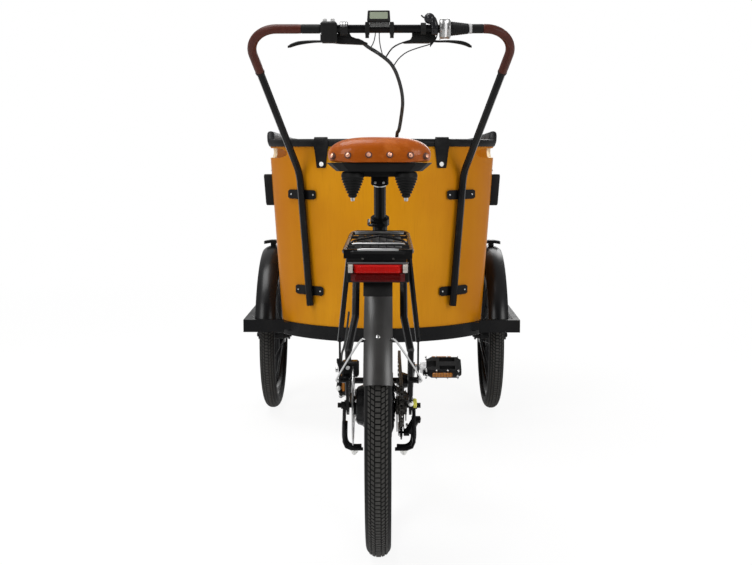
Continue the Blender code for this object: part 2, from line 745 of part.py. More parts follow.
def stay_meshes(side):
    """A seat stay, which clears the brake rotor before it draws in beside the tyre, and a chain stay."""
    top = seat_point(STAY_TOP)
    end = REAR_AXLE + Vector((side * DROPOUT_X, 0.016, 0.018))
    shoulder = top + Vector((side * STAY_SPREAD, -0.045, -0.030))
    clear = end.lerp(shoulder, (ROTOR_RADIUS + 0.026) / (shoulder - end).length)
    clear.x = end.x + side * 0.003
    knee = end.lerp(shoulder, 0.62)
    knee.x = side * STAY_SPREAD
    route = rounded_path([top + Vector((side * 0.006, -0.004, 0)), shoulder, knee, clear, end], 0.030, 2)
    radii = [STAY_RADIUS] * (len(route) - 4) + [mix(STAY_RADIUS, STAY_TIP_RADIUS, i / 3) for i in range(4)]
    start = BRACKET + Vector((side * 0.026, -0.006, -0.004))
    beside_tyre = BRACKET + Vector((side * (REAR_TYRE_WIDTH / 2 + 0.008), -0.100, 0.004))
    beside_rotor = REAR_AXLE + Vector((side * (DROPOUT_X + 0.001), ROTOR_RADIUS + 0.022, -0.010))
    end = REAR_AXLE + Vector((side * DROPOUT_X, 0.030, -0.006))
    slim = STAY_RADIUS - 0.0005
    chain_stay = tube([start, beside_tyre, beside_rotor, end], [slim, slim, slim, STAY_TIP_RADIUS])
    return [tube(route, radii), chain_stay]


def rear_frame():
    across = Vector((1, 0, 0))
    half_shell = BRACKET_SHELL_WIDTH / 2
    shell = spindle([(-half_shell, BRACKET_SHELL_RADIUS), (half_shell, BRACKET_SHELL_RADIUS)], BRACKET, across)
    top = seat_point(SEAT_TUBE_LENGTH)
    pieces = [shell, tube([BRACKET, top], SEAT_TUBE_RADIUS, 12)]
    head_foot = at(0, PIVOT_AHEAD, HEAD_BOTTOM)
    elbow = at(0, BRACKET_AHEAD + MAIN_TUBE_ELBOW, MAIN_TUBE_HEIGHT)
    main = [BRACKET, elbow, at(0, PIVOT_AHEAD, MAIN_TUBE_HEIGHT)]
    pieces.append(tube(rounded_path(main, 0.20, 3), MAIN_TUBE_RADIUS, 10))
    brace = [seat_point(BRACE_FOOT), at(0, BRACKET_AHEAD + BRACE_REACH, MAIN_TUBE_HEIGHT + 0.006)]
    pieces.append(tube(brace, BRACE_RADIUS, 8))
    pieces.append(spindle([(0, HEAD_RADIUS), (HEAD_HEIGHT, HEAD_RADIUS)], head_foot, Vector((0, 0, 1)), 12))
    for side in (-1, 1):
        pieces += stay_meshes(side) + dropout_meshes(side)
    pieces.append(caliper_seat())
    made("rear_frame", cut(welded(pieces), frame_bores(head_foot)), black_paint())
    seat_collar()


def frame_bores(head_foot):
    """The holes for the seat post, the crank axle, the kingpin and the rear axle."""
    across, up = Vector((1, 0, 0)), Vector((0, 0, 1))
    crank_bore = bore(CRANK_AXLE_RADIUS, 12, RUNNING_GAP)
    pin_bore = bore(KINGPIN_RADIUS, 12, RUNNING_GAP)
    axle_bore = bore(REAR_AXLE_RADIUS, 12)
    bore_foot = SEAT_POST_HEIGHT - SEAT_POST_LENGTH - SEAT_POST_TRAVEL
    post_bore = [seat_point(bore_foot), seat_point(SEAT_TUBE_LENGTH + 0.02)]
    return [
        tube(post_bore, bore(SEAT_POST_RADIUS, 12), 12),
        spindle([(-0.05, crank_bore), (0.05, crank_bore)], BRACKET, across, 12),
        spindle([(-0.01, pin_bore), (HEAD_HEIGHT + 0.01, pin_bore)], head_foot, up, 12),
        spindle([(-0.1, axle_bore), (0.1, axle_bore)], REAR_AXLE, across, 12),
    ]


def seat_collar():
    """The clamp round the top of the seat tube, with its quick-release lever along the left side."""
    low, high = seat_point(SEAT_TUBE_LENGTH - 0.018), seat_point(SEAT_TUBE_LENGTH - 0.002)
    inner = bore(SEAT_TUBE_RADIUS, 12)
    ring = sleeve([low, high], carried_frames([low, high]), inner, inner + 0.004, 12)
    back = Vector((0, -math.sin(SEAT_ANGLE), -math.cos(SEAT_ANGLE)))
    bolt = low.lerp(high, 0.5) + back * (inner + 0.0058)
    half = Vector((0.012, 0, 0))
    ear = Vector((half.x * 0.7, 0.004, 0.005))
    ears = block(bolt - ear, bolt + ear)
    arm = [bolt + half, bolt - half * 2.3, bolt - half * 2.3 - back * 0.045 - SEAT_AXIS * 0.008]
    made("seat_collar", welded([ring, ears, tube(rounded_path(arm, 0.009, 2), 0.0036, 6)]), black_paint())


# Cranks, pedals and chain


def crank_end(side):
    """The pedal's axis at the crank: the right crank points back and up, the left forward and down."""
    reach = Vector((0, -math.cos(CRANK_TILT), math.sin(CRANK_TILT))) * CRANK_LENGTH
    return BRACKET + reach * side


def crank_arm(side):
    """A forged arm: a waisted outline from the boss to the pedal's eye."""
    end = crank_end(side)
    middle = BRACKET + Vector((side * (CRANK_INNER_X + CRANK_THICKNESS / 2), 0, 0))
    far = end + Vector((middle.x, 0, 0))
    way = (far - middle).normalized()
    up = way.cross(Vector((1, 0, 0)))
    outline = []
    for centre, radius, sign in ((far, 0.0135, 1), (middle, 0.018, -1)):
        for i in range(6):
            angle = math.pi * (i / 5 - 0.5)
            outline.append(centre + (way * math.cos(angle) + up * math.sin(angle)) * radius * sign)
        waist = centre - way * 0.040 * sign
        outline.append(waist + up * 0.0105 * sign)
    return slab(outline, Vector((1, 0, 0)), CRANK_THICKNESS)


def chainring_mesh():
    """The toothed ring on its five-armed spider, fixed to the right crank."""
    across = Vector((1, 0, 0))
    middle = BRACKET + Vector((CHAIN_LINE, 0, 0))
    disc = slab(sprocket_outline(middle, RING_TEETH), across, SPROCKET_THICKNESS)
    windows = []
    centres = pitch_radius(RING_TEETH) * 0.575
    for i in range(5):
        angle = math.tau * (i + 0.5) / 5
        spot = middle + Vector((0, math.cos(angle), math.sin(angle))) * centres
        windows.append(spindle([(-0.01, centres * 0.37), (0.01, centres * 0.37)], spot, across, 6))
    return cut(disc, windows)


def cranks():
    across = Vector((1, 0, 0))
    inner = CRANK_INNER_X
    axle_profile = [(-inner - 0.008, CRANK_AXLE_RADIUS), (inner + 0.004, CRANK_AXLE_RADIUS)]
    axle = spindle(axle_profile, BRACKET, across, 8)
    ring_face = CHAIN_LINE - SPROCKET_THICKNESS / 2
    spider_profile = [(ring_face, 0.024), (ring_face + 0.006, 0.024), (inner + 0.002, 0.017)]
    spider = spindle(spider_profile, BRACKET, across, 10)
    right = made("crank_right", welded([crank_arm(1), spider, axle, chainring_mesh()]), black_paint())
    hole = bore(CRANK_AXLE_RADIUS, 12)
    seat = spindle([(-inner - 0.008 - FIT_GAP, hole), (0, hole)], BRACKET, across, 12)
    left = made("crank_left", cut(crank_arm(-1), [seat]), black_paint())
    for item in (right, left):
        hang_from(item, BRACKET, "crank_axis")


def pedal(name, side, tilt, fold):
    """A folding pedal: a hinge block that turns on the crank, and a platform that folds up against it."""
    centre = crank_end(side) + Vector((side * (CRANK_FACE_X + FIT_GAP), 0, 0))
    out = Vector((side, 0, 0))
    low = -PEDAL_THICKNESS / 2
    neck = spindle([(0, 0.008), (0.010, 0.008), (PEDAL_NECK - 0.014, 0.006)], centre, out, 8)
    shape = ((0.016, -0.009), (0.008, low), (0.001, low), (0.001, 0.008), (0.016, 0.008))
    outline = [centre + out * (PEDAL_NECK - back) + Vector((0, 0, z)) for back, z in shape]
    knuckle = slab(outline, Vector((0, 1, 0)), 2 * KNUCKLE_HALF)
    hinge = centre + out * (PEDAL_NECK - 0.005) + Vector((0, 0, low + 0.005))
    half_pin = Vector((0, PEDAL_DEPTH * 0.33, 0))
    pin = tube([hinge - half_pin, hinge + half_pin], HINGE_PIN_RADIUS)
    block_mesh = moved(welded([neck, knuckle, pin]), turn_about(centre, tilt, "X"))
    platform = platform_mesh(centre + out * PEDAL_NECK, side, hinge)
    platform = moved(platform, turn_about(hinge, -side * fold, "Y"))
    platform = moved(platform, turn_about(centre, tilt, "X"))
    hang_from(made(f"{name}_pedal_spindle", block_mesh, black_plastic()), centre, f"{name}_pedal_axis")
    fold_axis = turn_about(centre, tilt, "X") @ hinge
    hang_from(made(f"{name}_pedal_platform", platform, black_plastic()), fold_axis, f"{name}_pedal_fold_axis")


def platform_mesh(inner, side, hinge):
    """The pedal's body: a window on each side of its spine, and two cheeks that hinge beside the block."""
    rings = []
    for along, share in ((0, 0.75), (0.012, 1), (PEDAL_LENGTH - 0.012, 1), (PEDAL_LENGTH, 0.75)):
        y, z = PEDAL_DEPTH / 2 * share, PEDAL_THICKNESS / 2 * share
        middle = inner + Vector((side * along, 0, 0))
        rings.append([middle + Vector((0, dy, dz)) for dy, dz in
                      ((-y, -z * 0.3), (-y * 0.8, -z), (y * 0.8, -z), (y, -z * 0.3),
                       (y, z * 0.3), (y * 0.8, z), (-y * 0.8, z), (-y, z * 0.3))])
    body = loft(rings)
    cheek, lug = KNUCKLE_HALF + RUNNING_GAP, 0.007
    lugs, openings = [], []
    for sign in (-1, 1):
        eye = hinge + Vector((0, sign * (cheek + lug / 2), 0))
        reach = Vector((side * 0.010, 0, 0))
        outline = capsule_outline(eye, eye + reach, Vector((0, 0, 1)), 0.005, 3)
        lugs.append(slab(outline, Vector((0, 1, 0)), lug))
        window_far = Vector((side * (PEDAL_LENGTH - 0.016), sign * (PEDAL_DEPTH / 2 - 0.009), 0.1))
        openings.append(span(inner + Vector((side * 0.032, sign * 0.008, -0.1)), inner + window_far))
    half_hole = Vector((0, PEDAL_DEPTH * 0.35, 0))
    openings.append(tube([hinge - half_hole, hinge + half_hole], bore(HINGE_PIN_RADIUS, 8, RUNNING_GAP)))
    notch_end = inner + Vector((side * 0.024, cheek, 0.1))
    openings.append(span(inner + Vector((-side * 0.02, -cheek, -0.1)), notch_end))
    return cut(welded([body, *lugs]), openings)


def guide_pulley():
    """The upper pulley, which almost touches the middle sprocket from below."""
    down = Vector((0, 0.2075, -0.9782))
    return REAR_AXLE + down * (pitch_radius(SPROCKET_TEETH[2]) + pitch_radius(PULLEY_TEETH) + FIT_GAP)


def tension_pulley():
    return guide_pulley() + Vector((0, 2 * pitch_radius(PULLEY_TEETH) + PULLEY_GAP, 0.002))


def chain_run():
    """The chain's pitch line, as points with the way outwards, round ring, sprocket and pulleys."""
    wheels = [
        (BRACKET, pitch_radius(RING_TEETH), 1, 9),
        (REAR_AXLE, pitch_radius(SPROCKET_TEETH[2]), 1, 5),
        (guide_pulley(), pitch_radius(PULLEY_TEETH), -1, 3),
        (tension_pulley(), pitch_radius(PULLEY_TEETH), 1, 3),
    ]
    headings = []
    for i, (centre, radius, turn, _) in enumerate(wheels):
        after, after_radius, after_turn, _ = wheels[(i + 1) % len(wheels)]
        gap = after - centre
        bearing = math.atan2(gap.z, gap.y)
        lean = math.asin((turn * radius - after_turn * after_radius) / gap.length)
        headings.append(bearing + lean)
    run = []
    for i, (centre, radius, turn, steps) in enumerate(wheels):
        start, end = headings[i - 1], headings[i]
        sweep = (end - start) * turn % math.tau * turn
        for k in range(steps + 1):
            heading = start + sweep * k / steps
            outward = Vector((0, math.sin(heading), -math.cos(heading)))
            run.append((centre + outward * radius * turn + Vector((CHAIN_LINE, 0, 0)), outward))
    return run


def chain():
    """Two rows of side plates closed along their outer edge, which leaves a slot for the teeth."""
    wide, high = CHAIN_HALF_WIDTH, CHAIN_HALF_HEIGHT
    slot, web = SPROCKET_THICKNESS / 2 + 0.0010, 0.0015
    section = [(-wide, high), (wide, high), (wide, -high), (slot, -high),
               (slot, web), (-slot, web), (-slot, -high), (-wide, -high)]
    rings = [[point + Vector((x, 0, 0)) + outward * h for x, h in section] for point, outward in chain_run()]
    made("chain", loft(rings, closed=True), steel())


def derailleur():
    """Two cage plates with the guide and tension pulleys, on a body that hangs from the right fork end."""
    across = Vector((1, 0, 0))
    guide, tension = guide_pulley(), tension_pulley()
    way = (tension - guide).normalized()
    side = way.cross(across)
    pulley = pitch_radius(PULLEY_TEETH) - CHAIN_HALF_HEIGHT - 0.0012
    pieces = []
    for x in (-0.0062, 0.0062):
        outline = capsule_outline(guide, tension, side, 0.0085, 2)
        pieces.append(slab([p + across * (CHAIN_LINE + x) for p in outline], across, 0.0016))
    for centre in (guide, tension):
        middle = centre + across * CHAIN_LINE
        pieces.append(spindle([(-0.0068, 0.003), (0.0068, 0.003)], middle, across, 6))
        pieces.append(spindle([(-0.0018, pulley), (0.0018, pulley)], middle, across, 10))
    outer = guide + across * (CHAIN_LINE + 0.0062)
    knuckle = REAR_AXLE + Vector((DROPOUT_X + 0.013, 0.012, -0.036))
    pieces.append(spindle([(0, 0.009), (0.012, 0.009)], outer, across, 8))
    pieces.append(tube([outer + across * 0.010, knuckle], 0.0095, 8))
    pieces.append(spindle([(-0.0097, 0.0085), (0.010, 0.0085)], knuckle, across, 8))
    made("derailleur", welded(pieces), black_paint())


def rear_axle():
    """The hub's steel axle with its nuts, and a bent-rod bow under each end that guards brake and gears."""
    across = Vector((1, 0, 0))
    outer = REAR_DROPOUT_WIDTH / 2 + DROPOUT_THICKNESS + FIT_GAP
    tip = outer + 0.020
    pieces = [spindle([(-tip, REAR_AXLE_RADIUS), (tip, REAR_AXLE_RADIUS)], REAR_AXLE, across, 8)]
    for side in (-1, 1):
        nut = REAR_AXLE + across * side * (outer + 0.004)
        pieces.append(spindle([(0, 0.0095), (0.008, 0.0095)], nut, across * side, 6))
        eye = REAR_AXLE + across * side * outer
        pieces.append(spindle([(0, 0.012), (0.0045, 0.012)], eye, across * side, 8))
        rod = GUARD_ROD_RADIUS + 0.0006
        route = [eye + Vector((side * rod, 0, -0.006)), eye + Vector((side * rod, -0.018, -0.034)),
                 eye + Vector((side * rod, -0.018, -0.096)), eye + Vector((-side * 0.038, -0.018, -0.096))]
        pieces.append(tube(rounded_path(route, 0.016, 2), GUARD_ROD_RADIUS, 6))
    made("rear_axle", welded(pieces), black_paint())


def rear_caliper():
    """The brake caliper, which straddles the rotor and stands on the tab over the left fork end."""
    def from_axle(x, y, z):
        return REAR_AXLE + Vector((x, y, z))

    foot, top = CALIPER_SEAT_RADIUS + FIT_GAP, ROTOR_RADIUS + 0.012
    inner, outer = -ROTOR_OFFSET + 0.013, -ROTOR_OFFSET - 0.026
    body = block(from_axle(outer, -0.017, foot + 0.002), from_axle(inner, 0.017, top), 0.004)
    base = block(from_axle(outer + 0.004, -0.015, foot), from_axle(-ROTOR_OFFSET - 0.006, 0.015, foot + 0.012))
    drum_profile = [(0, 0.013), (0.007, 0.013), (0.009, 0.010)]
    drum = spindle(drum_profile, from_axle(outer + 0.002, 0, top - 0.018), Vector((-1, 0, 0)), 10)
    arm_foot = from_axle(outer - 0.004, 0, top - 0.018)
    arm_bend = arm_foot + Vector((-0.004, -0.016, 0.016))
    arm_route = [arm_foot, arm_bend, arm_bend + Vector((0, -0.004, 0.008))]
    half_slot = ROTOR_THICKNESS / 2 + 0.0008
    slot = block(from_axle(-ROTOR_OFFSET - half_slot, -0.05, 0.02),
                 from_axle(-ROTOR_OFFSET + half_slot, 0.05, ROTOR_RADIUS + 0.002))
    caliper = cut(welded([body, base, drum, tube(arm_route, 0.003, 6)]), [slot])
    made("rear_brake_caliper", moved(caliper, caliper_lean()), black_paint())


# Saddle and post


def seat_post():
    top = seat_point(SEAT_POST_HEIGHT)
    foot = seat_point(SEAT_POST_HEIGHT - SEAT_POST_LENGTH)
    post = tube([foot, top], SEAT_POST_RADIUS, 12)
    low, high = clamp_box()
    clamp = block(low, high, 0.003)
    items = [made("seat_post", welded([post, clamp]), black_paint())]
    items += saddle()
    for item in items:
        hang_from(item, seat_point(SEAT_TUBE_LENGTH), "seat_post_axis")


def clamp_box():
    """The clamp on top of the post, which holds the saddle's rails."""
    top = seat_point(SEAT_POST_HEIGHT)
    return top + Vector((-0.021, -0.020, -0.012)), top + Vector((0.021, 0.022, 0.012))


def saddle_point(x, share, above):
    """A point of the saddle: side offset, share of its length from the back, height over the post's top."""
    top = seat_point(SEAT_POST_HEIGHT)
    return Vector((x, top.y - SADDLE_BEHIND_POST + SADDLE_LENGTH * share, top.z + above))


def saddle_half_width(share):
    """Half the saddle's width at a share of its length from the back: broad behind, narrow at the nose."""
    if share < 0.18:
        return SADDLE_HALF_WIDTH * math.sqrt(1 - (1 - share / 0.18) ** 2 * 0.72)
    if share < 0.72:
        along = (share - 0.18) / 0.54
        return SADDLE_HALF_WIDTH * (1 - 0.76 * (3 * along ** 2 - 2 * along ** 3))
    return SADDLE_HALF_WIDTH * 0.24 * math.sqrt(max(0.0, 1 - ((share - 0.72) / 0.30) ** 2))


def leather_ring(share):
    """The section of the leather: flat below, arched above, lower at the back edge and the nose."""
    half = saddle_half_width(share)
    rise = LEATHER_THICKNESS - 0.030 * max(0, 1 - share / 0.12) ** 2 - 0.012 * share
    ring = []
    for i in range(9):
        angle = math.pi * i / 8
        out = abs(math.cos(angle)) ** 0.75 * math.copysign(1, math.cos(angle))
        ring.append(saddle_point(half * out, share, LEATHER_RISE + rise * math.sin(angle) ** 0.8))
    return ring


def saddle():
    """The leather top, the base under it with its two rails, and the two springs at the back."""
    shares = (0.0, 0.03, 0.09, 0.18, 0.32, 0.46, 0.60, 0.74, 0.88, 0.97)
    base_top = LEATHER_RISE - FIT_GAP
    base_bottom = base_top - SADDLE_BASE_HEIGHT
    base = []
    for share in shares[1:]:
        upper = saddle_half_width(share) - 0.004
        lower = saddle_half_width(share) * 0.82 - 0.004
        base.append([saddle_point(upper, share, base_top), saddle_point(-upper, share, base_top),
                     saddle_point(-lower, share, base_bottom), saddle_point(lower, share, base_bottom)])
    pieces = [loft(base)]
    low, high = clamp_box()
    rail_z = high.z - 0.001
    for side in (-1, 1):
        rail = [saddle_point(side * 0.033, 0.065, base_bottom + 0.004),
                Vector((side * 0.024, low.y - 0.010, rail_z)), Vector((side * 0.024, high.y + 0.010, rail_z)),
                saddle_point(side * 0.012, 0.86, base_bottom + 0.006)]
        pieces.append(tube(rounded_path(rail, 0.012, 2), 0.0032, 6))
    made_items = [made("saddle_leather", loft([leather_ring(share) for share in shares]), tan_leather()),
                  made("saddle_base", welded(pieces), black_plastic())]
    for name, side in (("left", -1), ("right", 1)):
        foot = saddle_point(side * SPRING_X, 0.145, base_bottom - FIT_GAP - SPRING_HEIGHT - 0.008)
        profile = [(0, 0.003), (0.002, 0.0042), (0.008, 0.0042), (0.0085, 0.009), (0.012, 0.010),
                   (SPRING_HEIGHT - 0.006, SPRING_RADIUS), (SPRING_HEIGHT + 0.004, SPRING_RADIUS),
                   (SPRING_HEIGHT + 0.008, SPRING_RADIUS - 0.004)]
        spring = spindle(profile, foot, Vector((0, 0, 1)), 8)
        made_items.append(made(f"saddle_spring_{name}", spring, black_plastic()))
    return made_items


# Rack, tail light and rear mudguard


def rear_rack():
    """Two rails with cross rods, legs down to the eyelets and a plate that carries the light."""
    half, z = DECK_HALF_WIDTH, DECK_HEIGHT
    pieces = []
    loop = [at(-half + 0.010, DECK_FRONT, z), at(-half, DECK_FRONT - 0.05, z), at(-half, DECK_BACK, z),
            at(half, DECK_BACK, z), at(half, DECK_FRONT - 0.05, z), at(half - 0.010, DECK_FRONT, z)]
    pieces.append(tube(rounded_path(loop, 0.018, 2), RAIL_RADIUS, 6))
    for share in (0.10, 0.225, 0.675, 0.88, 0.992):
        ahead = mix(DECK_BACK, DECK_FRONT, share)
        reach = half - (0.002 if share < 0.9 else 0.010)
        pieces.append(tube([at(-reach, ahead, z + 0.001), at(reach, ahead, z + 0.001)], RAIL_RADIUS * 0.8, 6))
    back, front = DECK_BACK - LEG_PLATE / 2, DECK_BACK + LEG_PLATE / 2
    pieces.append(block(at(-half - 0.001, back, z - 0.012), at(half + 0.001, front, z + 0.006)))
    pieces.append(block(at(-0.032, back, LIGHT_TOP - LIGHT_HEIGHT), at(0.032, front, z - 0.006)))
    for side in (-1, 1):
        foot = eyelet(side) + Vector((side * (FIT_GAP + LEG_PLATE / 2), 0, 0))
        bend = foot + Vector((0, -0.010, 0.095))
        top = at(side * (half - 0.004), -0.070, z)
        pieces.append(tube([bend - Vector((0, 0, 0.006)), top], 0.006, 6))
        outline = capsule_outline(foot, bend, Vector((0, 1, 0)), 0.008, 3)
        pieces.append(slab(outline, Vector((1, 0, 0)), LEG_PLATE))
    made("rear_rack", welded(pieces), black_paint())


def tail_light():
    """The light's black housing on the rack's plate, and its red lens, which bows out behind."""
    back = DECK_BACK - LEG_PLATE / 2 - FIT_GAP
    half = LIGHT_WIDTH / 2
    low = at(-half, back - LIGHT_DEPTH, LIGHT_TOP - LIGHT_HEIGHT)
    high = at(half, back, LIGHT_TOP)
    made("tail_light_housing", block(low, high, 0.002), black_plastic())
    face = back - LIGHT_DEPTH - FIT_GAP
    rings = []
    for depth, shrink in ((0, 0.002), (0.008, 0.004), (0.013, 0.010)):
        ring = []
        for x, z in ((-1, 0), (-1, 1), (-0.5, 1), (0.5, 1), (1, 1), (1, 0), (0.5, 0), (-0.5, 0)):
            bulge = 0.002 if abs(x) < 1 else 0
            height = LIGHT_TOP - shrink / 2 if z else LIGHT_TOP - LIGHT_HEIGHT + shrink / 2
            ring.append(at(x * (half - shrink), face - depth - bulge * (depth > 0), height))
        rings.append(ring)
    made("tail_light_lens", loft(rings), paint("red_lens", (0.55, 0.01, 0.01), 0.15))


def guard_mesh(centre, radius, width, start, end, steps):
    """A mudguard: a crowned strip swept round the wheel between two angles from the back."""
    crown = width * GUARD_CROWN
    bow = (width ** 2 / 4 + crown ** 2) / (2 * crown)
    across = [width / 2 * (i / 2 - 1) for i in range(5)]
    drops = [bow - math.sqrt(bow ** 2 - x ** 2) for x in across]
    section = [(x, radius + GUARD_THICKNESS - d) for x, d in zip(across, drops)]
    section += [(x, radius - d) for x, d in list(zip(across, drops))[::-2]]
    rings = []
    for i in range(steps + 1):
        angle = start + (end - start) * i / steps
        out = Vector((0, -math.cos(angle), math.sin(angle)))
        rings.append([centre + Vector((x, 0, 0)) + out * r for x, r in section])
    return loft(rings)


def rear_mudguard():
    """The rear mudguard with its steel stay, a rod riveted across the inside and down to both eyelets."""
    radius = REAR_RADIUS + GUARD_CLEARANCE
    start, end = math.radians(20.5), math.radians(176.0)
    guard = guard_mesh(REAR_AXLE, radius, REAR_GUARD_WIDTH, start, end, 16)
    angle, half = math.radians(37.0), REAR_GUARD_WIDTH / 2
    out = Vector((0, -math.cos(angle), math.sin(angle)))
    edge = radius - REAR_GUARD_WIDTH * GUARD_CROWN + GUARD_THICKNESS / 2
    pieces = [guard]
    for side in (-1, 1):
        foot = eyelet(side) + Vector((side * (LEG_PLATE + 2 * FIT_GAP + STAY_ROD_RADIUS), 0, 0))
        rivet = REAR_AXLE + out * edge + Vector((side * (half - 0.003), 0, 0))
        bend = REAR_AXLE + out * (edge - 0.012) + Vector((side * (half + 0.004), 0, 0))
        clear = foot + (bend - foot).normalized() * 0.020
        clear.x = foot.x
        pieces.append(tube([rivet, bend, clear, foot], STAY_ROD_RADIUS, 6))
        inner_face = foot - Vector((side * STAY_ROD_RADIUS, 0, 0))
        pieces.append(spindle([(0, 0.006), (2 * STAY_ROD_RADIUS, 0.006)], inner_face, Vector((side, 0, 0)), 8))
    made("rear_mudguard", welded(pieces), black_paint())


# Box


def level(z):
    return (z - FLOOR_HEIGHT) / (BOX_REAR_EDGE - FLOOR_HEIGHT)


def mix(low, high, share):
    return low + (high - low) * share


def wall_point(u, z, inset):
    """A point on the box's wall. u runs from 0 at the middle of the back, through 1 to 2 round the
    rear corner, 2 to 3 along the side and 3 to 4 round the front corner, to 5 at the middle of the
    front; it is negative on the left. inset is measured inwards from the outer face."""
    side, u = (-1, -u) if u < 0 else (1, u)
    width = mix(BOX_BOTTOM_HALF_WIDTH, BOX_TOP_HALF_WIDTH, level(z))
    rear = mix(BOX_REAR_BOTTOM, BOX_REAR_TOP, level(z))
    front = BOX_FRONT_TOP - BOX_FRONT_RAKE * (BOX_SIDE_EDGE - z) / (BOX_SIDE_EDGE - FLOOR_HEIGHT)
    if u <= 2:
        big, corner, middle, way = BOX_REAR_RADIUS, BOX_REAR_CORNER, rear + BOX_REAR_RADIUS, -1
        share = u
    elif u < 3:
        start = wall_point(2, z, inset)
        end = wall_point(3, z, inset)
        point = start.lerp(end, u - 2)
        return Vector((point.x * side, point.y, point.z))
    else:
        big, corner, middle, way = BOX_FRONT_RADIUS, BOX_FRONT_CORNER, front - BOX_FRONT_RADIUS, 1
        share = 5 - u
    turn = math.asin((width - corner) / (big - corner))
    if share <= 1:
        angle = turn * share
        x, ahead = (big - inset) * math.sin(angle), middle + way * (big - inset) * math.cos(angle)
    else:
        angle = turn + (math.pi / 2 - turn) * (share - 1)
        hub_x, hub = width - corner, middle + way * (big - corner) * math.cos(turn)
        x, ahead = hub_x + (corner - inset) * math.sin(angle), hub + way * (corner - inset) * math.cos(angle)
    return at(side * x, ahead, z)


def rear_wall_point(x, z, inset):
    """A point on the bowed back of the box, by its side offset."""
    middle = mix(BOX_REAR_BOTTOM, BOX_REAR_TOP, level(z)) + BOX_REAR_RADIUS
    radius = BOX_REAR_RADIUS - inset
    return at(x, middle - math.sqrt(radius ** 2 - x ** 2), z)


def top_edge(u):
    """The height of the wall's upper edge: low at the back, higher along the sides and front."""
    share = min(max((abs(u) - 0.95) / 1.05, 0.0), 1.0)
    return mix(BOX_REAR_EDGE, BOX_SIDE_EDGE, share * share * (3 - 2 * share))


def wall_steps(start, end):
    """Where the wall is sampled: often in its curves, at the ends of its straights."""
    marks = [i / 7 for i in range(7)] + [1 + i / 4 for i in range(5)] + [SEAM_SHARE]
    marks += [3 + i / 4 for i in range(4)] + [4 + i / 3 for i in range(4)]
    both = sorted({-m for m in marks} | set(marks))
    return [m for m in both if start <= m <= end]


def sheet_ring(u):
    """The section of the bent plywood from the floor to its upper edge, out and back."""
    heights = (FLOOR_HEIGHT, top_edge(u) - RIM_SKIRT, top_edge(u))
    outer = [wall_point(u, z, 0) for z in heights]
    return outer + [wall_point(u, z, BOX_WALL) for z in heights[::-1]]


def handhold_cutter(side):
    """A slot with round ends, which bends with the rear corner of the box."""
    rings = []
    start, end, half = 0.84, 2.16, HANDHOLD_HALF_HEIGHT
    for i in range(7):
        share = i / 6
        u = mix(start, end, share)
        edge = min(share, 1 - share) / 0.18
        height = half * math.sqrt(1 - (1 - min(edge, 1)) ** 2) if edge < 1 else half
        height = max(height, half * 0.35)
        centre = top_edge(u) - RIM_SKIRT - HANDHOLD_DROP - half
        rings.append([wall_point(side * u, centre + dz, inset) for dz, inset in
                      ((-height, -0.01), (height, -0.01), (height, BOX_WALL + 0.01), (-height, BOX_WALL + 0.01))])
    return loft(rings)


def box():
    seam = SEAM_SHARE
    rear = loft([sheet_ring(u) for u in wall_steps(-seam, seam)])
    made("box_rear_panel", cut(rear, [handhold_cutter(-1), handhold_cutter(1)]), varnished_plywood())
    made("box_front_panel", front_sheet(), varnished_plywood())
    for name, side in (("left", -1), ("right", 1)):
        made(f"box_joint_{name}", joint_strip(side * seam), black_paint())
    box_floor()
    box_rim()


def front_sheet():
    """The front sheet, which stops short of the rear one at both seams by the fitting gap."""
    rings = []
    for u in wall_steps(SEAM_SHARE, 5) + wall_steps(-5, -SEAM_SHARE)[1:]:
        shift = Vector((0, FIT_GAP if abs(u) == SEAM_SHARE else 0, 0))
        rings.append([point + shift for point in sheet_ring(u)])
    return loft(rings)


def joint_strip(u):
    """A flat steel strip outside the seam of the two sheets."""
    rings = []
    for z in (FLOOR_HEIGHT + 0.002, BOX_SIDE_EDGE - RIM_SKIRT - 0.002):
        middle, half = wall_point(u, z, -FIT_GAP), Vector((0, JOINT_HALF_WIDTH, 0))
        out = Vector((math.copysign(JOINT_THICKNESS, u), 0, 0))
        rings.append([middle - half, middle + half, middle + half + out, middle - half + out])
    return loft(rings)


def box_floor():
    """The floor board, with the two uprights that carry the bench."""
    inset = BOX_WALL + BOW_GAP
    steps = wall_steps(-5, 5)[:-1]
    top = FLOOR_HEIGHT + BOX_WALL
    board = loft([[wall_point(u, z, inset) for u in steps] for z in (FLOOR_HEIGHT, top)])
    pieces = [board]
    for side in (-1, 1):
        outer = BOX_BOTTOM_HALF_WIDTH - BOX_WALL - 0.016
        far = at(side * (outer - BOX_WALL), BENCH_BACK + BENCH_DEPTH - 0.02, BENCH_HEIGHT - FIT_GAP)
        pieces.append(span(at(side * outer, BENCH_BACK + 0.02, top - 0.002), far))
    made("box_floor", welded(pieces), varnished_plywood())


def box_rim():
    """A rubber rim pushed over the walls' upper edge, with two straps down the back of the box."""
    wall, gap, reach = BOX_WALL, RIM_SEAT_GAP, RIM_REACH
    section = [(-reach + 0.001, -RIM_SKIRT), (-reach, 0.005), (-0.003, 0.014), (wall + 0.003, 0.014),
               (wall + reach, 0.005), (wall + reach - 0.001, -RIM_SKIRT),
               (wall + gap, -RIM_SKIRT), (wall + gap, RIM_LIFT), (-gap, RIM_LIFT), (-gap, -RIM_SKIRT)]
    rings = []
    for u in wall_steps(-5, 5)[:-1]:
        edge = top_edge(u)
        rings.append([wall_point(u, edge + dz, inset) for inset, dz in section])
    pieces = [loft(rings, closed=True)]
    for side in (-1, 1):
        pieces.append(rim_strap(side * STRAP_X))
    made("box_rim", welded(pieces), paint("rim_rubber", (0.015, 0.015, 0.016), 0.55))


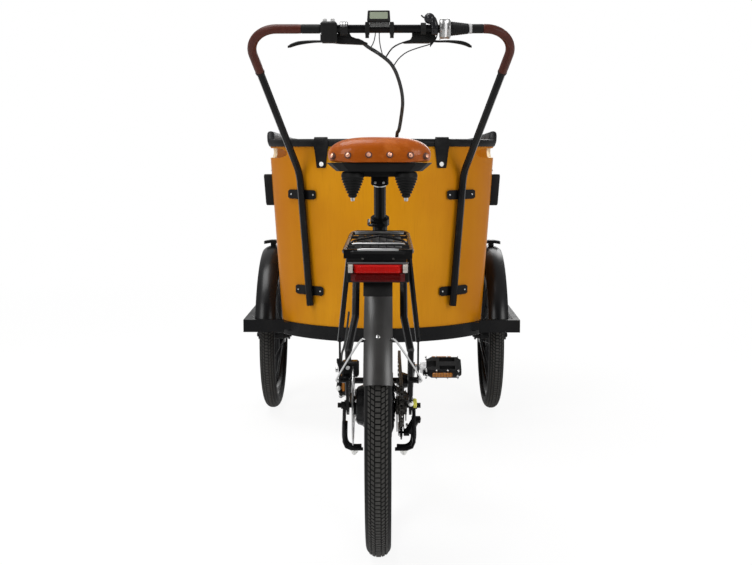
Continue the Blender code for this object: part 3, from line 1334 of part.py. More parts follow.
def rim_strap(x):
    """A tapered strap that lies on the back panel and swells over the rim."""
    edge = BOX_REAR_EDGE
    rows = ((edge - 0.068, 0.013, BOW_GAP, 0.004), (edge - 0.060, 0.018, BOW_GAP, 0.005),
            (edge - RIM_SKIRT - 0.003, 0.0215, BOW_GAP, 0.005),
            (edge - RIM_SKIRT + 0.004, 0.022, 0.003, RIM_REACH + 0.0025),
            (edge + 0.008, 0.0235, 0.002, RIM_REACH + 0.0015))
    rings = []
    for z, half, inner, outer in rows:
        rings.append([rear_wall_point(x - half, z, -outer), rear_wall_point(x + half, z, -outer),
                      rear_wall_point(x + half, z, -inner), rear_wall_point(x - half, z, -inner)])
    return loft(rings)


def pole_holder(name, side):
    """A socket for a canopy pole on the side of the box, open from top to bottom."""
    shape = ((0, -0.016), (HOLDER_DEPTH - 0.006, -0.015), (HOLDER_DEPTH, -0.009),
             (HOLDER_DEPTH, 0.009), (HOLDER_DEPTH - 0.006, 0.015), (0, 0.016))
    rings = []
    for z in (HOLDER_FOOT, HOLDER_FOOT + HOLDER_HEIGHT):
        face = side_wall_x(z) + FIT_GAP
        rings.append([at(side * (face + x), HOLDER_AHEAD + y, z) for x, y in shape])
    ends = (HOLDER_FOOT - 0.01, HOLDER_FOOT + HOLDER_HEIGHT + 0.01)
    middle = [at(side * (side_wall_x(z) + HOLDER_DEPTH / 2), HOLDER_AHEAD, z) for z in ends]
    made(f"pole_holder_{name}", cut(loft(rings), [tube(middle, 0.0075)]), black_plastic())


def side_wall_x(z):
    return mix(BOX_BOTTOM_HALF_WIDTH, BOX_TOP_HALF_WIDTH, level(z))


def bench():
    """A plywood seat board with rounded front corners, hinged along its rear edge."""
    half = side_wall_x(BENCH_HEIGHT) - BOX_WALL - BENCH_SIDE_GAP
    front, back = BENCH_BACK + BENCH_DEPTH, BENCH_BACK
    near_side = [(half, back), (half, front - 0.03), (half - 0.012, front - 0.008), (half - 0.035, front)]
    corners = near_side + [(-x, ahead) for x, ahead in reversed(near_side)]
    outline = [at(x, ahead, BENCH_HEIGHT + BENCH_THICKNESS / 2) for x, ahead in corners]
    board = slab(outline, Vector((0, 0, 1)), BENCH_THICKNESS)
    hang_from(made("bench", board, varnished_plywood()), at(0, BENCH_BACK, BENCH_HEIGHT), "bench_axis")


def battery():
    """The battery stands on the floor under the bench and draws out forwards by the handle on its front."""
    low = at(-BATTERY_WIDTH / 2, BENCH_BACK - 0.03, FLOOR_HEIGHT + BOX_WALL + FIT_GAP)
    high = low + Vector((BATTERY_WIDTH, BATTERY_LENGTH, BATTERY_HEIGHT))
    case = block(low, high, 0.006)
    root, out = high.y - 0.004, high.y + 0.026
    foot, top = low.z + 0.030, high.z - 0.022
    grip = [Vector((0, root, foot)), Vector((0, out, foot)), Vector((0, out, top)), Vector((0, root, top))]
    handle = tube(rounded_path(grip, 0.008, 2), 0.007, 6)
    item = made("battery", welded([case, handle]), black_plastic())
    hang_from(item, low, "battery_slide")


# Front chassis and mudguards


def beam(first, second, width, height):
    """A bar of rectangular section, level, between two points on its middle line."""
    way = (second - first).normalized()
    side = Vector((0, 0, 1)).cross(way) * width / 2
    up = Vector((0, 0, height / 2))
    return loft([[p - side - up, p + side - up, p + side + up, p - side + up] for p in (first, second)])


def front_chassis():
    """The frame under the box: a band round its foot, cross bars, kingpin and a cage round each wheel."""
    section = ((-0.004, BAND_BOTTOM), (-0.004, BAND_TOP), (0.022, BAND_TOP), (0.022, BAND_BOTTOM))
    band = []
    for u in wall_steps(-5, 5)[:-1]:
        feet = [wall_point(u, FLOOR_HEIGHT, inset) for inset, _ in section]
        band.append([Vector((foot.x, foot.y, z)) for foot, (_, z) in zip(feet, section)])
    middle = (BAND_TOP + BAND_BOTTOM) / 2
    front = BOX_FRONT_TOP - BOX_FRONT_RAKE - 0.05
    pieces = [loft(band, closed=True)]
    for x in (-RUNNER_X, RUNNER_X):
        back = rear_wall_point(x, FLOOR_HEIGHT, 0.012).y - REAR_AXLE_Y
        pieces.append(beam(at(x, back, middle), at(x, front, middle), 0.030, BAND_HEIGHT - 0.002))
    reach = RUNNER_X + 0.01
    pivot_beam = at(-reach, PIVOT_AHEAD, middle), at(reach, PIVOT_AHEAD, middle)
    pieces.append(beam(*pivot_beam, 0.070, BAND_HEIGHT - 0.004))
    reach = HALF_TRACK - AXLE_PLATE_OFFSET + AXLE_PLATE_THICKNESS / 2
    low = BAND_BOTTOM - 0.008
    pieces.append(beam(at(-reach, WHEELBASE, low), at(reach, WHEELBASE, low), 0.034, 0.022))
    foot = HEAD_BOTTOM - 0.005
    profile = [(0, KINGPIN_RADIUS - 0.002), (0.003, KINGPIN_RADIUS), (middle - foot, KINGPIN_RADIUS)]
    pieces.append(spindle(profile, at(0, PIVOT_AHEAD, foot), Vector((0, 0, 1)), 12))
    for side in (-1, 1):
        pieces += wheel_cage(side)
    made("front_chassis", welded(pieces), black_paint())


def wheel_cage(side):
    """The bars round one front wheel, the two plates that carry its axle and the axle itself."""
    outer = HALF_WIDTH - BAR_WIDTH / 2
    reach = FRONT_RADIUS + CAGE_TYRE_GAP + BAR_WIDTH / 2
    near, far = WHEELBASE - reach, WHEELBASE + reach
    top = BAND_TOP + 0.007
    near_z, side_z = top - NEAR_BAR_HEIGHT / 2, top - SIDE_BAR_HEIGHT / 2
    stub_z, far_z = BAND_TOP - BAND_HEIGHT / 2, side_z - 0.008
    wall = BOX_BOTTOM_HALF_WIDTH

    def bar(start, end, width, height):
        return beam(at(side * start[0], *start[1:]), at(side * end[0], *end[1:]), width, height)

    pieces = [
        bar((wall - 0.022, near, stub_z), (wall + 0.030, near, stub_z), BAR_WIDTH - 0.002, BAND_HEIGHT - 0.001),
        bar((wall + 0.003, near, near_z), (HALF_WIDTH, near, near_z), BAR_WIDTH, NEAR_BAR_HEIGHT),
        bar((outer, near - 0.006, side_z), (outer, far + 0.006, side_z), BAR_WIDTH, SIDE_BAR_HEIGHT),
        bar((RUNNER_X, far, far_z), (HALF_WIDTH - 0.001, far, far_z), BAR_WIDTH * 0.96, SIDE_BAR_HEIGHT),
    ]
    across = Vector((1, 0, 0))
    axle = at(side * HALF_TRACK, WHEELBASE, FRONT_RADIUS)
    for sign, plate_top in ((-1, BAND_BOTTOM - 0.002), (1, side_z)):
        points = [(-0.020, plate_top), (-0.014, axle.z - 0.006), (-0.008, axle.z - 0.015),
                  (0.008, axle.z - 0.015), (0.014, axle.z - 0.006), (0.020, plate_top)]
        x = side * (HALF_TRACK + sign * AXLE_PLATE_OFFSET)
        pieces.append(slab([at(x, WHEELBASE + y, z) for y, z in points], across, AXLE_PLATE_THICKNESS))
        nut = axle + across * sign * (AXLE_PLATE_OFFSET + AXLE_PLATE_THICKNESS / 2 - 0.0005)
        pieces.append(spindle([(0, 0.0085), (0.0055, 0.0085)], nut, across * sign, 6))
    reach = AXLE_PLATE_OFFSET + 0.009
    pieces.append(spindle([(-reach, FRONT_AXLE_RADIUS), (reach, FRONT_AXLE_RADIUS)], axle, across, 8))
    return pieces


def front_mudguard(name, side):
    """A mudguard with the winged bracket on its crown, which is screwed to the side of the box."""
    axle = at(side * HALF_TRACK, WHEELBASE, FRONT_RADIUS)
    radius = FRONT_RADIUS + FRONT_GUARD_CLEARANCE
    guard = guard_mesh(axle, radius, FRONT_GUARD_WIDTH, math.radians(22.0), math.radians(150.0), 12)
    crown = axle.z + radius + GUARD_THICKNESS
    arm_z = crown + 0.020
    stand = JOINT_THICKNESS + 2 * FIT_GAP
    wall, middle = side_wall_x(arm_z) + stand, HALF_TRACK
    outline = [(wall, -0.022), (middle + 0.010, -0.016), (middle + 0.034, -0.010), (middle + 0.034, 0.010),
               (middle + 0.010, 0.016), (wall, 0.022)]
    lower = []
    for x, y in outline:
        droop = max(0, x - middle - 0.012) * 0.35
        lower.append(at(side * x, WHEELBASE + y, arm_z - 0.0025 - droop))
    upper = [p + Vector((0, 0, 0.005)) for p in lower]
    neck_foot = at(side * middle, WHEELBASE, crown - 0.004)
    neck = spindle([(0, 0.011), (0.020, 0.007), (0.026, 0.012)], neck_foot, Vector((0, 0, 1)), 8)
    tab = []
    for z in (arm_z - 0.022, arm_z + 0.001):
        face = side_wall_x(z) + stand
        tab.append([at(side * (face + dx), WHEELBASE + dy, z) for dx, dy in
                    ((0, -0.022), (0.004, -0.022), (0.004, 0.022), (0, 0.022))])
    made(f"{name}_front_mudguard", welded([guard, loft([lower, upper]), neck, loft(tab)]), black_paint())


# Handlebar and what it carries


def handlebar_path():
    """The bar's middle line: up the back of the box, out and back to the rider, and across."""
    stand = PLATE_THICKNESS + BOW_GAP + BAR_RADIUS * 0.85
    low = rear_wall_point(-BAR_LOW_X, BAR_LOW_HEIGHT, -stand)
    knee = rear_wall_point(-BAR_KNEE_X, BAR_KNEE_HEIGHT, -stand)
    corner = at(-BAR_CORNER_X, BAR_AHEAD, BAR_HEIGHT)
    left = rounded_path([low, knee, corner, at(0, BAR_AHEAD, BAR_HEIGHT)], BAR_BEND_RADIUS, BEND_STEPS)[:-1]
    right = [Vector((-p.x, p.y, p.z)) for p in left[::-1]]
    return left + right


def handlebar():
    path = handlebar_path()
    pieces = [tube(path, BAR_RADIUS, BAR_SIDES)]
    for side in (-1, 1):
        for z in PLATE_HEIGHTS:
            share = (z - BAR_LOW_HEIGHT) / (BAR_KNEE_HEIGHT - BAR_LOW_HEIGHT)
            pieces.append(mounting_plate(side * mix(BAR_LOW_X, BAR_KNEE_X, share), z))
    made("handlebar", welded(pieces), black_paint())
    grips(path)


def mounting_plate(x, z):
    """A plate across the bar, bent to the bow of the box's back."""
    rings = []
    for share in (-1, -0.85, 0, 0.85, 1):
        end = x + share * PLATE_HALF_WIDTH
        high = PLATE_HALF_HEIGHT * (0.7 if abs(share) == 1 else 1)
        inner, outer = -BOW_GAP, -PLATE_THICKNESS - BOW_GAP
        rings.append([rear_wall_point(end, z + dz, inset) for dz, inset in
                      ((-high, inner), (-high, outer), (high, outer), (high, inner))])
    return loft(rings)


def grips(path):
    """Leather sleeves on the bar's upper bends, from the arm round to the crossbar."""
    frames = carried_frames(path)
    bend_end = len(path) // 2 - 1
    bend = range(bend_end - BEND_STEPS, bend_end + 1)
    inner, outer = BAR_RADIUS + FIT_GAP, BAR_RADIUS + GRIP_WALL
    arm = path[bend[0]] - path[bend[0] - 1]
    start = path[bend[0]] - arm.normalized() * GRIP_ARM_RUN
    for name, run in (("left", LEFT_GRIP_RUN), ("right", RIGHT_GRIP_RUN)):
        points = [start] + [path[i] for i in bend] + [path[bend_end] + Vector((run, 0, 0))]
        turns = [frames[bend[0]]] + [frames[i] for i in bend] + [frames[bend_end]]
        turns[0] = carried_start(frames, path, bend[0])
        grip = sleeve(points, turns, inner, outer, BAR_SIDES)
        if name == "right":
            grip = mirrored(grip)
        made(f"grip_{name}", grip, tan_leather())


def carried_start(frames, path, index):
    """The frame on the straight before a bend, with the same corners as the bar has there."""
    way = (path[index] - path[index - 1]).normalized()
    side = frames[index][0] - way * frames[index][0].dot(way)
    side.normalize()
    return side, way.cross(side)


def bar_point(x, behind=0.0, above=0.0):
    """A point near the crossbar, by its side offset, distance behind the bar and height above it."""
    return at(x, BAR_AHEAD - behind, BAR_HEIGHT + above)


def bar_ring(low_x, high_x, outer, sides=10):
    """A clamp band round the crossbar."""
    inner = bore(BAR_RADIUS, sides)
    centre = bar_point(0)
    return turned([(low_x, inner), (low_x, outer), (high_x, outer), (high_x, inner)], centre, sides)


def lever_point(x):
    """A point on the line of the lever bodies, ahead of the crossbar and a little below it."""
    return bar_point(x, -LEVER_PIVOT_AHEAD, -LEVER_DROP)


def brake_lever(name, side, clamp_x, tip_x):
    """A lever body clamped on the bar, forked at its outer end, and the blade that swings in the fork."""
    xs = sorted((side * clamp_x, side * (clamp_x + 0.014)))
    clamp = bar_ring(xs[0], xs[1], BAR_RADIUS + CLAMP_WALL)
    middle = lever_point(side * (clamp_x + 0.006))
    pod_half = Vector((0.020, 0.010, 0.009))
    pod = block(middle - pod_half, middle + pod_half, 0.003)
    neck = tube([bar_point(side * (clamp_x + 0.007), -0.013, -0.006), middle], 0.0062)
    pivot = lever_point(side * (clamp_x + 0.018))
    half_slot = LEVER_ROOT_RADIUS + RUNNING_GAP
    slot_near = pivot + Vector((-side * 0.008, -0.05, -half_slot))
    slot = span(slot_near, pivot + Vector((side * 0.05, 0.05, half_slot)))
    made(f"brake_body_{name}", cut(welded([clamp, neck, pod]), [slot]), black_paint())
    tip = Vector((side * tip_x, pivot.y + 0.022, pivot.z - 0.016))
    knee = pivot.lerp(tip, 0.45) + Vector((0, 0.010, 0.004))
    route = rounded_path([pivot, knee, tip], 0.05, 3)
    blade = tube(route, [LEVER_ROOT_RADIUS] * 2 + [0.005] * (len(route) - 3) + [0.0062])
    item = made(f"brake_lever_{name}", blade, black_paint())
    hang_from(item, pivot, f"brake_lever_{name}_axis")


def twist_shifter():
    """The gear changer: a housing fixed on the bar and a tapering rubber sleeve that turns beside it."""
    fixed, turning = bore(BAR_RADIUS, 12), bore(BAR_RADIUS, 12, RUNNING_GAP)
    start, end = SHIFTER_START, SHIFTER_START + SHIFTER_HOUSING_LENGTH
    wide, edge = SHIFTER_RADIUS, SHIFTER_RADIUS - 0.003
    housing = [(start, fixed), (start, edge), (start + 0.004, wide),
               (end - 0.003, wide), (end, edge), (end, fixed)]
    silver = paint("silver_plastic", (0.6, 0.6, 0.62), 0.35, 0.6)
    made("shifter_housing", turned(housing, bar_point(0), 12), silver)
    near, far = end + RUNNING_GAP, end + SHIFTER_GRIP_LENGTH
    root = SHIFTER_RADIUS - 0.0075
    sleeve_profile = [(near, turning), (near, root), (near + 0.004, root - 0.001),
                      (far - 0.002, turning + 0.002), (far, turning)]
    item = made("twist_shifter", turned(sleeve_profile, bar_point(0), 12), black_plastic())
    hang_from(item, bar_point(0), "twist_shifter_axis")


def switch_pod():
    """The assist switch: a pod on the bar with two push buttons on its top."""
    low, high = bar_point(-0.163, 0.019, -0.038), bar_point(-0.118, -0.014, 0.0185)
    pod = block(low, high, 0.005)
    hole = spindle([(-0.2, bore(BAR_RADIUS, 12)), (0.1, bore(BAR_RADIUS, 12))], bar_point(0), Vector((1, 0, 0)))
    top = high.z
    spots = [bar_point(x, 0.006, 0) for x in (-0.151, -0.130)]
    wells = []
    for spot in spots:
        spot.z = top - 0.003
        wells.append(spindle([(0, 0.0062), (0.02, 0.0062)], spot, Vector((0, 0, 1)), 10))
    made("switch_pod", cut(pod, [hole, *wells]), black_plastic())
    for name, spot in zip(("minus", "plus"), spots):
        cap = spindle([(0.0018, 0.0058), (0.0052, 0.0058), (0.0062, 0.0045)], spot, Vector((0, 0, 1)), 10)
        item = made(f"button_{name}", cap, paint("grey_button", (0.35, 0.35, 0.36), 0.5))
        hang_from(item, spot, f"button_{name}_axis")


def display():
    """The display on its two-armed clamp, tilted to the rider."""
    centre_x = -0.006
    middle = bar_point(centre_x, 0.012, 0.039)
    case_half = Vector((0.032, 0.0065, 0.0175))
    case = block(middle - case_half, middle + case_half, 0.003)
    tray = block(middle + Vector((-0.040, -0.004, -0.0265)), middle + Vector((0.040, 0.006, -0.0165)))
    case = moved(case, turn_about(middle, math.radians(-24), "X"))
    pieces = [case, tray]
    for x in (centre_x - 0.043, centre_x + 0.030):
        pieces.append(bar_ring(x, x + 0.013, BAR_RADIUS + CLAMP_WALL))
        pieces.append(block(bar_point(x, 0.014, -0.026), bar_point(x + 0.013, 0.004, -BAR_RADIUS - 0.0014)))
    made("display", welded(pieces), black_plastic())


def bell():
    """A round bell on a post, with the striker that a thumb flicks."""
    foot = bar_point(BELL_X + 0.011, 0, 0)
    dome_centre = bar_point(BELL_X, 0.004, 0.036)
    profile = [(along * BELL_RADIUS, r * BELL_RADIUS) for along, r in
               ((-0.68, 0.39), (-0.52, 0.81), (0, 1), (0.52, 0.74), (0.74, 0.26))]
    dome = spindle(profile, dome_centre, Vector((0, -1, 0.25)), 10)
    clamp = bar_ring(foot.x - 0.0045, foot.x + 0.0055, BAR_RADIUS + CLAMP_WALL - 0.001)
    post = tube([foot + Vector((0, 0, 0.014)), dome_centre + Vector((0.003, 0.002, -0.004))], 0.0052, 8)
    made("bell", welded([dome, clamp, post]), black_paint())
    pivot = dome_centre + Vector((0.0, 0.017, -0.006))
    striker_route = [pivot, pivot + Vector((-0.020, 0.001, 0.002)), pivot + Vector((-0.026, -0.014, 0.005))]
    striker = tube(striker_route, 0.0022, 6)
    item = made("bell_striker", striker, steel())
    hang_from(item, pivot, "bell_striker_axis")


# Cables


def smooth_route(points, spacing):
    """Points at an even spacing along a smooth curve through a route's own points."""
    dense = []
    ends = [points[0] * 2 - points[1], *points, points[-1] * 2 - points[-2]]
    for a, b, c, d in zip(ends, ends[1:], ends[2:], ends[3:]):
        for i in range(16):
            t = i / 16
            dense.append(0.5 * (2 * b + (c - a) * t + (2 * a - 5 * b + 4 * c - d) * t * t
                                + (3 * b - a - 3 * c + d) * t ** 3))
    dense.append(points[-1])
    length = sum((q - p).length for p, q in zip(dense, dense[1:]))
    count = max(2, round(length / spacing))
    route, walked, wanted = [dense[0]], 0.0, length / count
    for p, q in zip(dense, dense[1:]):
        step = (q - p).length
        while len(route) < count and walked + step >= wanted * len(route):
            route.append(p.lerp(q, (wanted * len(route) - walked) / step))
        walked += step
    return route + [points[-1]]


def cable_curve(name, points, radius, spacing):
    """A cable as a bevelled curve with filled ends."""
    curve = bpy.data.curves.new(name, "CURVE")
    curve.dimensions = "3D"
    curve.bevel_depth = radius
    curve.bevel_resolution = 1
    curve.use_fill_caps = True
    route = smooth_route(points, spacing)
    spline = curve.splines.new("POLY")
    spline.points.add(len(route) - 1)
    for slot, point in zip(spline.points, route):
        slot.co = (*point, 1.0)
    item = bpy.data.objects.new(name, curve)
    bpy.context.scene.collection.objects.link(item)
    return item


def cable_solid(name, points, radius, spacing):
    """The mesh of a cable's curve, for joining branches to a bundle."""
    item = cable_curve(name, points, radius, spacing)
    evaluated = item.evaluated_get(bpy.context.evaluated_depsgraph_get())
    mesh = bmesh.new()
    mesh.from_mesh(evaluated.to_mesh())
    evaluated.to_mesh_clear()
    bmesh.ops.remove_doubles(mesh, verts=mesh.verts, dist=0.00001)
    curve = item.data
    bpy.data.objects.remove(item)
    bpy.data.curves.remove(curve)
    return mesh


def rim_point(x, ahead, above):
    """A point near the middle of the box's back, from its upper edge."""
    return at(x, BOX_REAR_TOP + ahead, BOX_REAR_EDGE + above)


def cables():
    """The wrapped bundle from the levers over the rim into the box, and the branches that join it."""
    start = lever_point(-0.0745)
    floor = rim_point(0.045, 0.070, 0)
    floor.z = FLOOR_HEIGHT + BOX_WALL + FIT_GAP
    bundle = [start, start + Vector((0.018, 0.001, -0.002)), bar_point(-0.035, -0.046, -0.044),
              bar_point(0.002, -0.062, -0.066), bar_point(0.032, -0.084, -0.092),
              bar_point(0.052, -0.120, -0.135), bar_point(0.062, -0.165, -0.185),
              rim_point(0.058, -0.065, 0.081), rim_point(0.052, -0.025, 0.047),
              rim_point(0.048, 0.010, 0.041), rim_point(0.046, 0.037, 0.010), rim_point(0.045, 0.046, -0.055),
              rim_point(0.045, 0.053, -0.215), rim_point(0.045, 0.062, -0.365),
              rim_point(0.045, 0.068, -0.475), floor]
    pieces = [cable_solid("bundle", bundle, 0.0052, 0.031)]
    branches = (
        ([bar_point(-0.020, 0.001, 0.034), bar_point(-0.021, -0.020, 0.020), bar_point(-0.022, -0.026, -0.010),
          bar_point(-0.018, -0.052, -0.054)], 0.0014),
        ([bar_point(-0.006, 0.001, 0.034), bar_point(-0.005, -0.020, 0.020), bar_point(0.000, -0.028, -0.014),
          bar_point(0.012, -0.069, -0.074)], 0.0014),
        ([lever_point(0.091), bar_point(0.080, -0.031, -0.028),
          bar_point(0.048, -0.058, -0.052), bar_point(0.030, -0.083, -0.090)], 0.0024),
        ([bar_point(0.1560, -0.016, 0.004), bar_point(0.146, -0.030, 0.004), bar_point(0.110, -0.074, -0.030),
          bar_point(0.070, -0.098, -0.088), bar_point(0.052, -0.122, -0.137)], 0.0018),
    )
    for i, (route, radius) in enumerate(branches):
        pieces.append(cable_solid(f"branch_{i}", route, radius, 0.030))
    made("cable_harness", welded(pieces), black_plastic())
    rear_brake_cable()


def rear_brake_cable():
    """The cable loops out of the left seat stay and back to the caliper's lever."""
    start = REAR_AXLE + Vector((-STAY_SPREAD - STAY_RADIUS - 0.004, 0.090, 0.200))
    route = [start, start + Vector((-0.006, -0.020, -0.060)), REAR_AXLE + Vector((-0.104, 0.044, 0.090)),
             REAR_AXLE + Vector((-0.118, 0.016, 0.062)), REAR_AXLE + Vector((-0.121, -0.014, 0.070)),
             REAR_AXLE + Vector((-0.104, -0.022, 0.094)), REAR_AXLE + Vector((-0.0965, -0.017, 0.108))]
    item = cable_curve("rear_brake_cable", route, 0.0025, 0.015)
    item.data.materials.append(black_plastic())


def build():
    clear_scene()
    rear_frame()
    rear_wheel()
    cassette()
    rear_axle()
    rear_caliper()
    cranks()
    pedal("right", 1, PEDAL_TILT, 0.0)
    pedal("left", -1, 0.0, math.pi / 2)
    chain()
    derailleur()
    seat_post()
    rear_rack()
    tail_light()
    rear_mudguard()
    front_chassis()
    box()
    bench()
    battery()
    for name, side in (("left", -1), ("right", 1)):
        pole_holder(name, side)
        front_wheel(name, side)
        front_mudguard(name, side)
    handlebar()
    brake_lever("left", -1, LEFT_LEVER_X, LEFT_LEVER_TIP)
    brake_lever("right", 1, RIGHT_LEVER_X, RIGHT_LEVER_TIP)
    twist_shifter()
    switch_pod()
    display()
    bell()
    cables()


build()
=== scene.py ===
from math import asin, atan2, copysign, cos, pi, radians, sin, sqrt, tan, tau

import bmesh
import bpy
from mathutils import Matrix, Vector


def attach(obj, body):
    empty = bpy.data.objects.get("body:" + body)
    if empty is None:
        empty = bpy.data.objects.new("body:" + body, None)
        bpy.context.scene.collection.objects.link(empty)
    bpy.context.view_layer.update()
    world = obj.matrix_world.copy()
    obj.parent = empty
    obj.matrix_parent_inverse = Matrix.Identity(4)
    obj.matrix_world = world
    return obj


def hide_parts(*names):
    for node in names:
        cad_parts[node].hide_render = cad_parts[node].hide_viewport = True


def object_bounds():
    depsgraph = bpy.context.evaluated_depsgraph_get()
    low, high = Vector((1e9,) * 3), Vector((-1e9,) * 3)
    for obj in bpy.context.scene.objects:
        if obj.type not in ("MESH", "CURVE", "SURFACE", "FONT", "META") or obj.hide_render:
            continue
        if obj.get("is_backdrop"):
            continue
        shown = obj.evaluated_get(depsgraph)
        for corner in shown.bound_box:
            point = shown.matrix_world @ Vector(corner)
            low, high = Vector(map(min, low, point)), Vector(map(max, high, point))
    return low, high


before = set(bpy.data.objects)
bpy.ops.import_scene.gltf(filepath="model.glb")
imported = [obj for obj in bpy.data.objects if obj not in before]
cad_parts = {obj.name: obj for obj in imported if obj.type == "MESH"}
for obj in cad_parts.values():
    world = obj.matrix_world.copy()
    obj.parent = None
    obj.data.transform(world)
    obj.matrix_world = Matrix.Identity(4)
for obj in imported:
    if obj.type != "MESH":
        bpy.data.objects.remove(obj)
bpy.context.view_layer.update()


# The studio. The picture is taken from close behind the tricycle, at the height of the box's rim,
# with the camera tipped a little down, on a white sweep under large soft lamps.
scene = bpy.context.scene
camera = bpy.data.objects.new("camera", bpy.data.cameras.new("camera"))
scene.collection.objects.link(camera)
scene.camera = camera
scene.view_settings.view_transform = "Standard"
camera.data.sensor_width = 36
camera.data.lens = 50.03
camera.data.shift_y = -0.05
camera.location = (0.0182, -3.0684, 0.9109)
camera.rotation_euler = (radians(90 - 5.313), 0, radians(0.622))


class Shade:
    """One value, colour or direction inside a finish. Sums with it add the nodes that work them out."""

    def __init__(self, tree, socket):
        self.tree = tree
        self.socket = socket

    def node(self, kind, values, **settings):
        """Any other node, from its type, its sockets by name or number, and its settings."""
        made = self.tree.nodes.new(kind)
        for name, value in settings.items():
            setattr(made, name, value)
        for name, value in values.items():
            self.feed(made.inputs[name], value)
        return Shade(self.tree, next(output for output in made.outputs if output.enabled))

    def feed(self, socket, value):
        """Links a shade to a socket, or sets a plain value there; a colour given as one number is a grey."""
        if isinstance(value, Shade):
            self.tree.links.new(value.socket, socket)
        elif socket.type == "RGBA":
            socket.default_value = (*value, 1) if isinstance(value, tuple) else (value, value, value, 1)
        else:
            socket.default_value = value

    def work(self, operation, other=0):
        kind = "ShaderNodeVectorMath" if self.socket.type == "VECTOR" else "ShaderNodeMath"
        return self.node(kind, {0: self, 1: other} if other else {0: self}, operation=operation)

    def __add__(self, other):
        return self.work("ADD", other)

    def __mul__(self, other):
        return self.work("MULTIPLY", other)

    __radd__ = __add__

    def across(self, axis):
        """One of the three coordinates of a direction or place."""
        return Shade(self.tree, self.node("ShaderNodeSeparateXYZ", {0: self}).socket.node.outputs[axis])

    def wave(self):
        return self.work("SINE")

    def rising(self, low, high):
        """0 below low, 1 above high, and even between them."""
        return self.node("ShaderNodeMapRange", {"Value": self, "From Min": low, "From Max": high})

    def noise(self, scale, detail=3.0, *band):
        """Cloudy noise, or with a band of two values only what rises through it."""
        made = self.node("ShaderNodeTexNoise", {"Vector": self, "Scale": scale, "Detail": detail})
        return made.rising(*band) if band else made

    def cells(self, scale):
        return self.node("ShaderNodeTexVoronoi", {"Vector": self, "Scale": scale})

    def between(self, low, high):
        """A colour between two, by this value."""
        return self.node("ShaderNodeMix", {0: self, 6: low, 7: high}, data_type="RGBA")


def place_in(tree):
    return Shade(tree, tree.nodes.new("ShaderNodeTexCoord").outputs["Object"])


def finish(name, worked, **steady):
    """A finish: steady values sit on the shader, and worked(place) gives the sockets that vary."""
    material = bpy.data.materials.new(name)
    material.use_nodes = True
    tree = material.node_tree
    shader = tree.nodes["Principled BSDF"]
    place = place_in(tree)
    for socket, value in steady.items():
        place.feed(shader.inputs[socket.replace("_", " ")], value)
    for socket, value in worked(place).items():
        if socket == "Relief":
            height, depth = value
            socket, value = "Normal", place.node("ShaderNodeBump", {"Height": height, "Distance": depth})
        tree.links.new(value.socket, shader.inputs[socket])
    return material


def seen_by(tree, *rays):
    """1 for rays of the kinds named, such as Camera or Glossy, and 0 for all other light."""
    path = tree.nodes.new("ShaderNodeLightPath")
    first, *others = (Shade(tree, path.outputs[f"Is {ray} Ray"]) for ray in rays)
    return sum(others, first).rising(0, 1)


def glowing(material, share):
    """Adds a plain white glow to a finish, as large as share(tree) says."""
    tree = material.node_tree
    glow = tree.nodes.new("ShaderNodeEmission")
    mixed = tree.nodes.new("ShaderNodeMixShader")
    tree.links.new(share(tree).socket, mixed.inputs["Fac"])
    tree.links.new(tree.nodes["Principled BSDF"].outputs["BSDF"], mixed.inputs[1])
    tree.links.new(glow.outputs["Emission"], mixed.inputs[2])
    tree.links.new(mixed.outputs["Shader"], tree.nodes["Material Output"].inputs["Surface"])
    return material


def paper_glow(tree):
    """The paper is burnt out to white as the camera sees it, most of all far away."""
    ground = place_in(tree)
    reach = Shade(tree, ground.work("LENGTH").socket.node.outputs["Value"])
    return seen_by(tree, "Camera", "Glossy", "Transmission") * (0.90 + reach.rising(1.2, 4.5) * 0.10)


paper = finish("paper", lambda place: {
    "Base Color": place.noise(0.7).between((0.90, 0.90, 0.895), 0.93)}, Roughness=0.9)
black_cloth = finish("black_cloth", lambda place: {
    "Base Color": place.noise(3).between(0.010, 0.016)}, Roughness=0.9)
for name, segments, size, material, share, place, tilt in (
    ("floor", 8, 30, paper, paper_glow, (0, 0, -0.0005), 0),
    ("dark_flag", 1, 5, black_cloth, lambda tree: seen_by(tree, "Camera"), (0, -6.0, 3.2), 90),
):
    mesh = bmesh.new()
    bmesh.ops.create_grid(mesh, x_segments=segments, y_segments=segments, size=size)
    sheet = bpy.data.objects.new(name, bpy.data.meshes.new(name))
    mesh.to_mesh(sheet.data)
    mesh.free()
    sheet.data.materials.append(glowing(material, share))
    scene.collection.objects.link(sheet)
    sheet.location = place
    sheet.rotation_euler.x = radians(tilt)
    sheet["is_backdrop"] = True

world = bpy.data.worlds.new("studio")
scene.world = world
world.use_nodes = True
sky = world.node_tree.nodes["Background"]
sky.inputs["Color"].default_value = (1, 1, 1, 1)
strength = seen_by(world.node_tree, "Camera", "Transmission") * 0.55 + 0.45
world.node_tree.links.new(strength.socket, sky.inputs["Strength"])

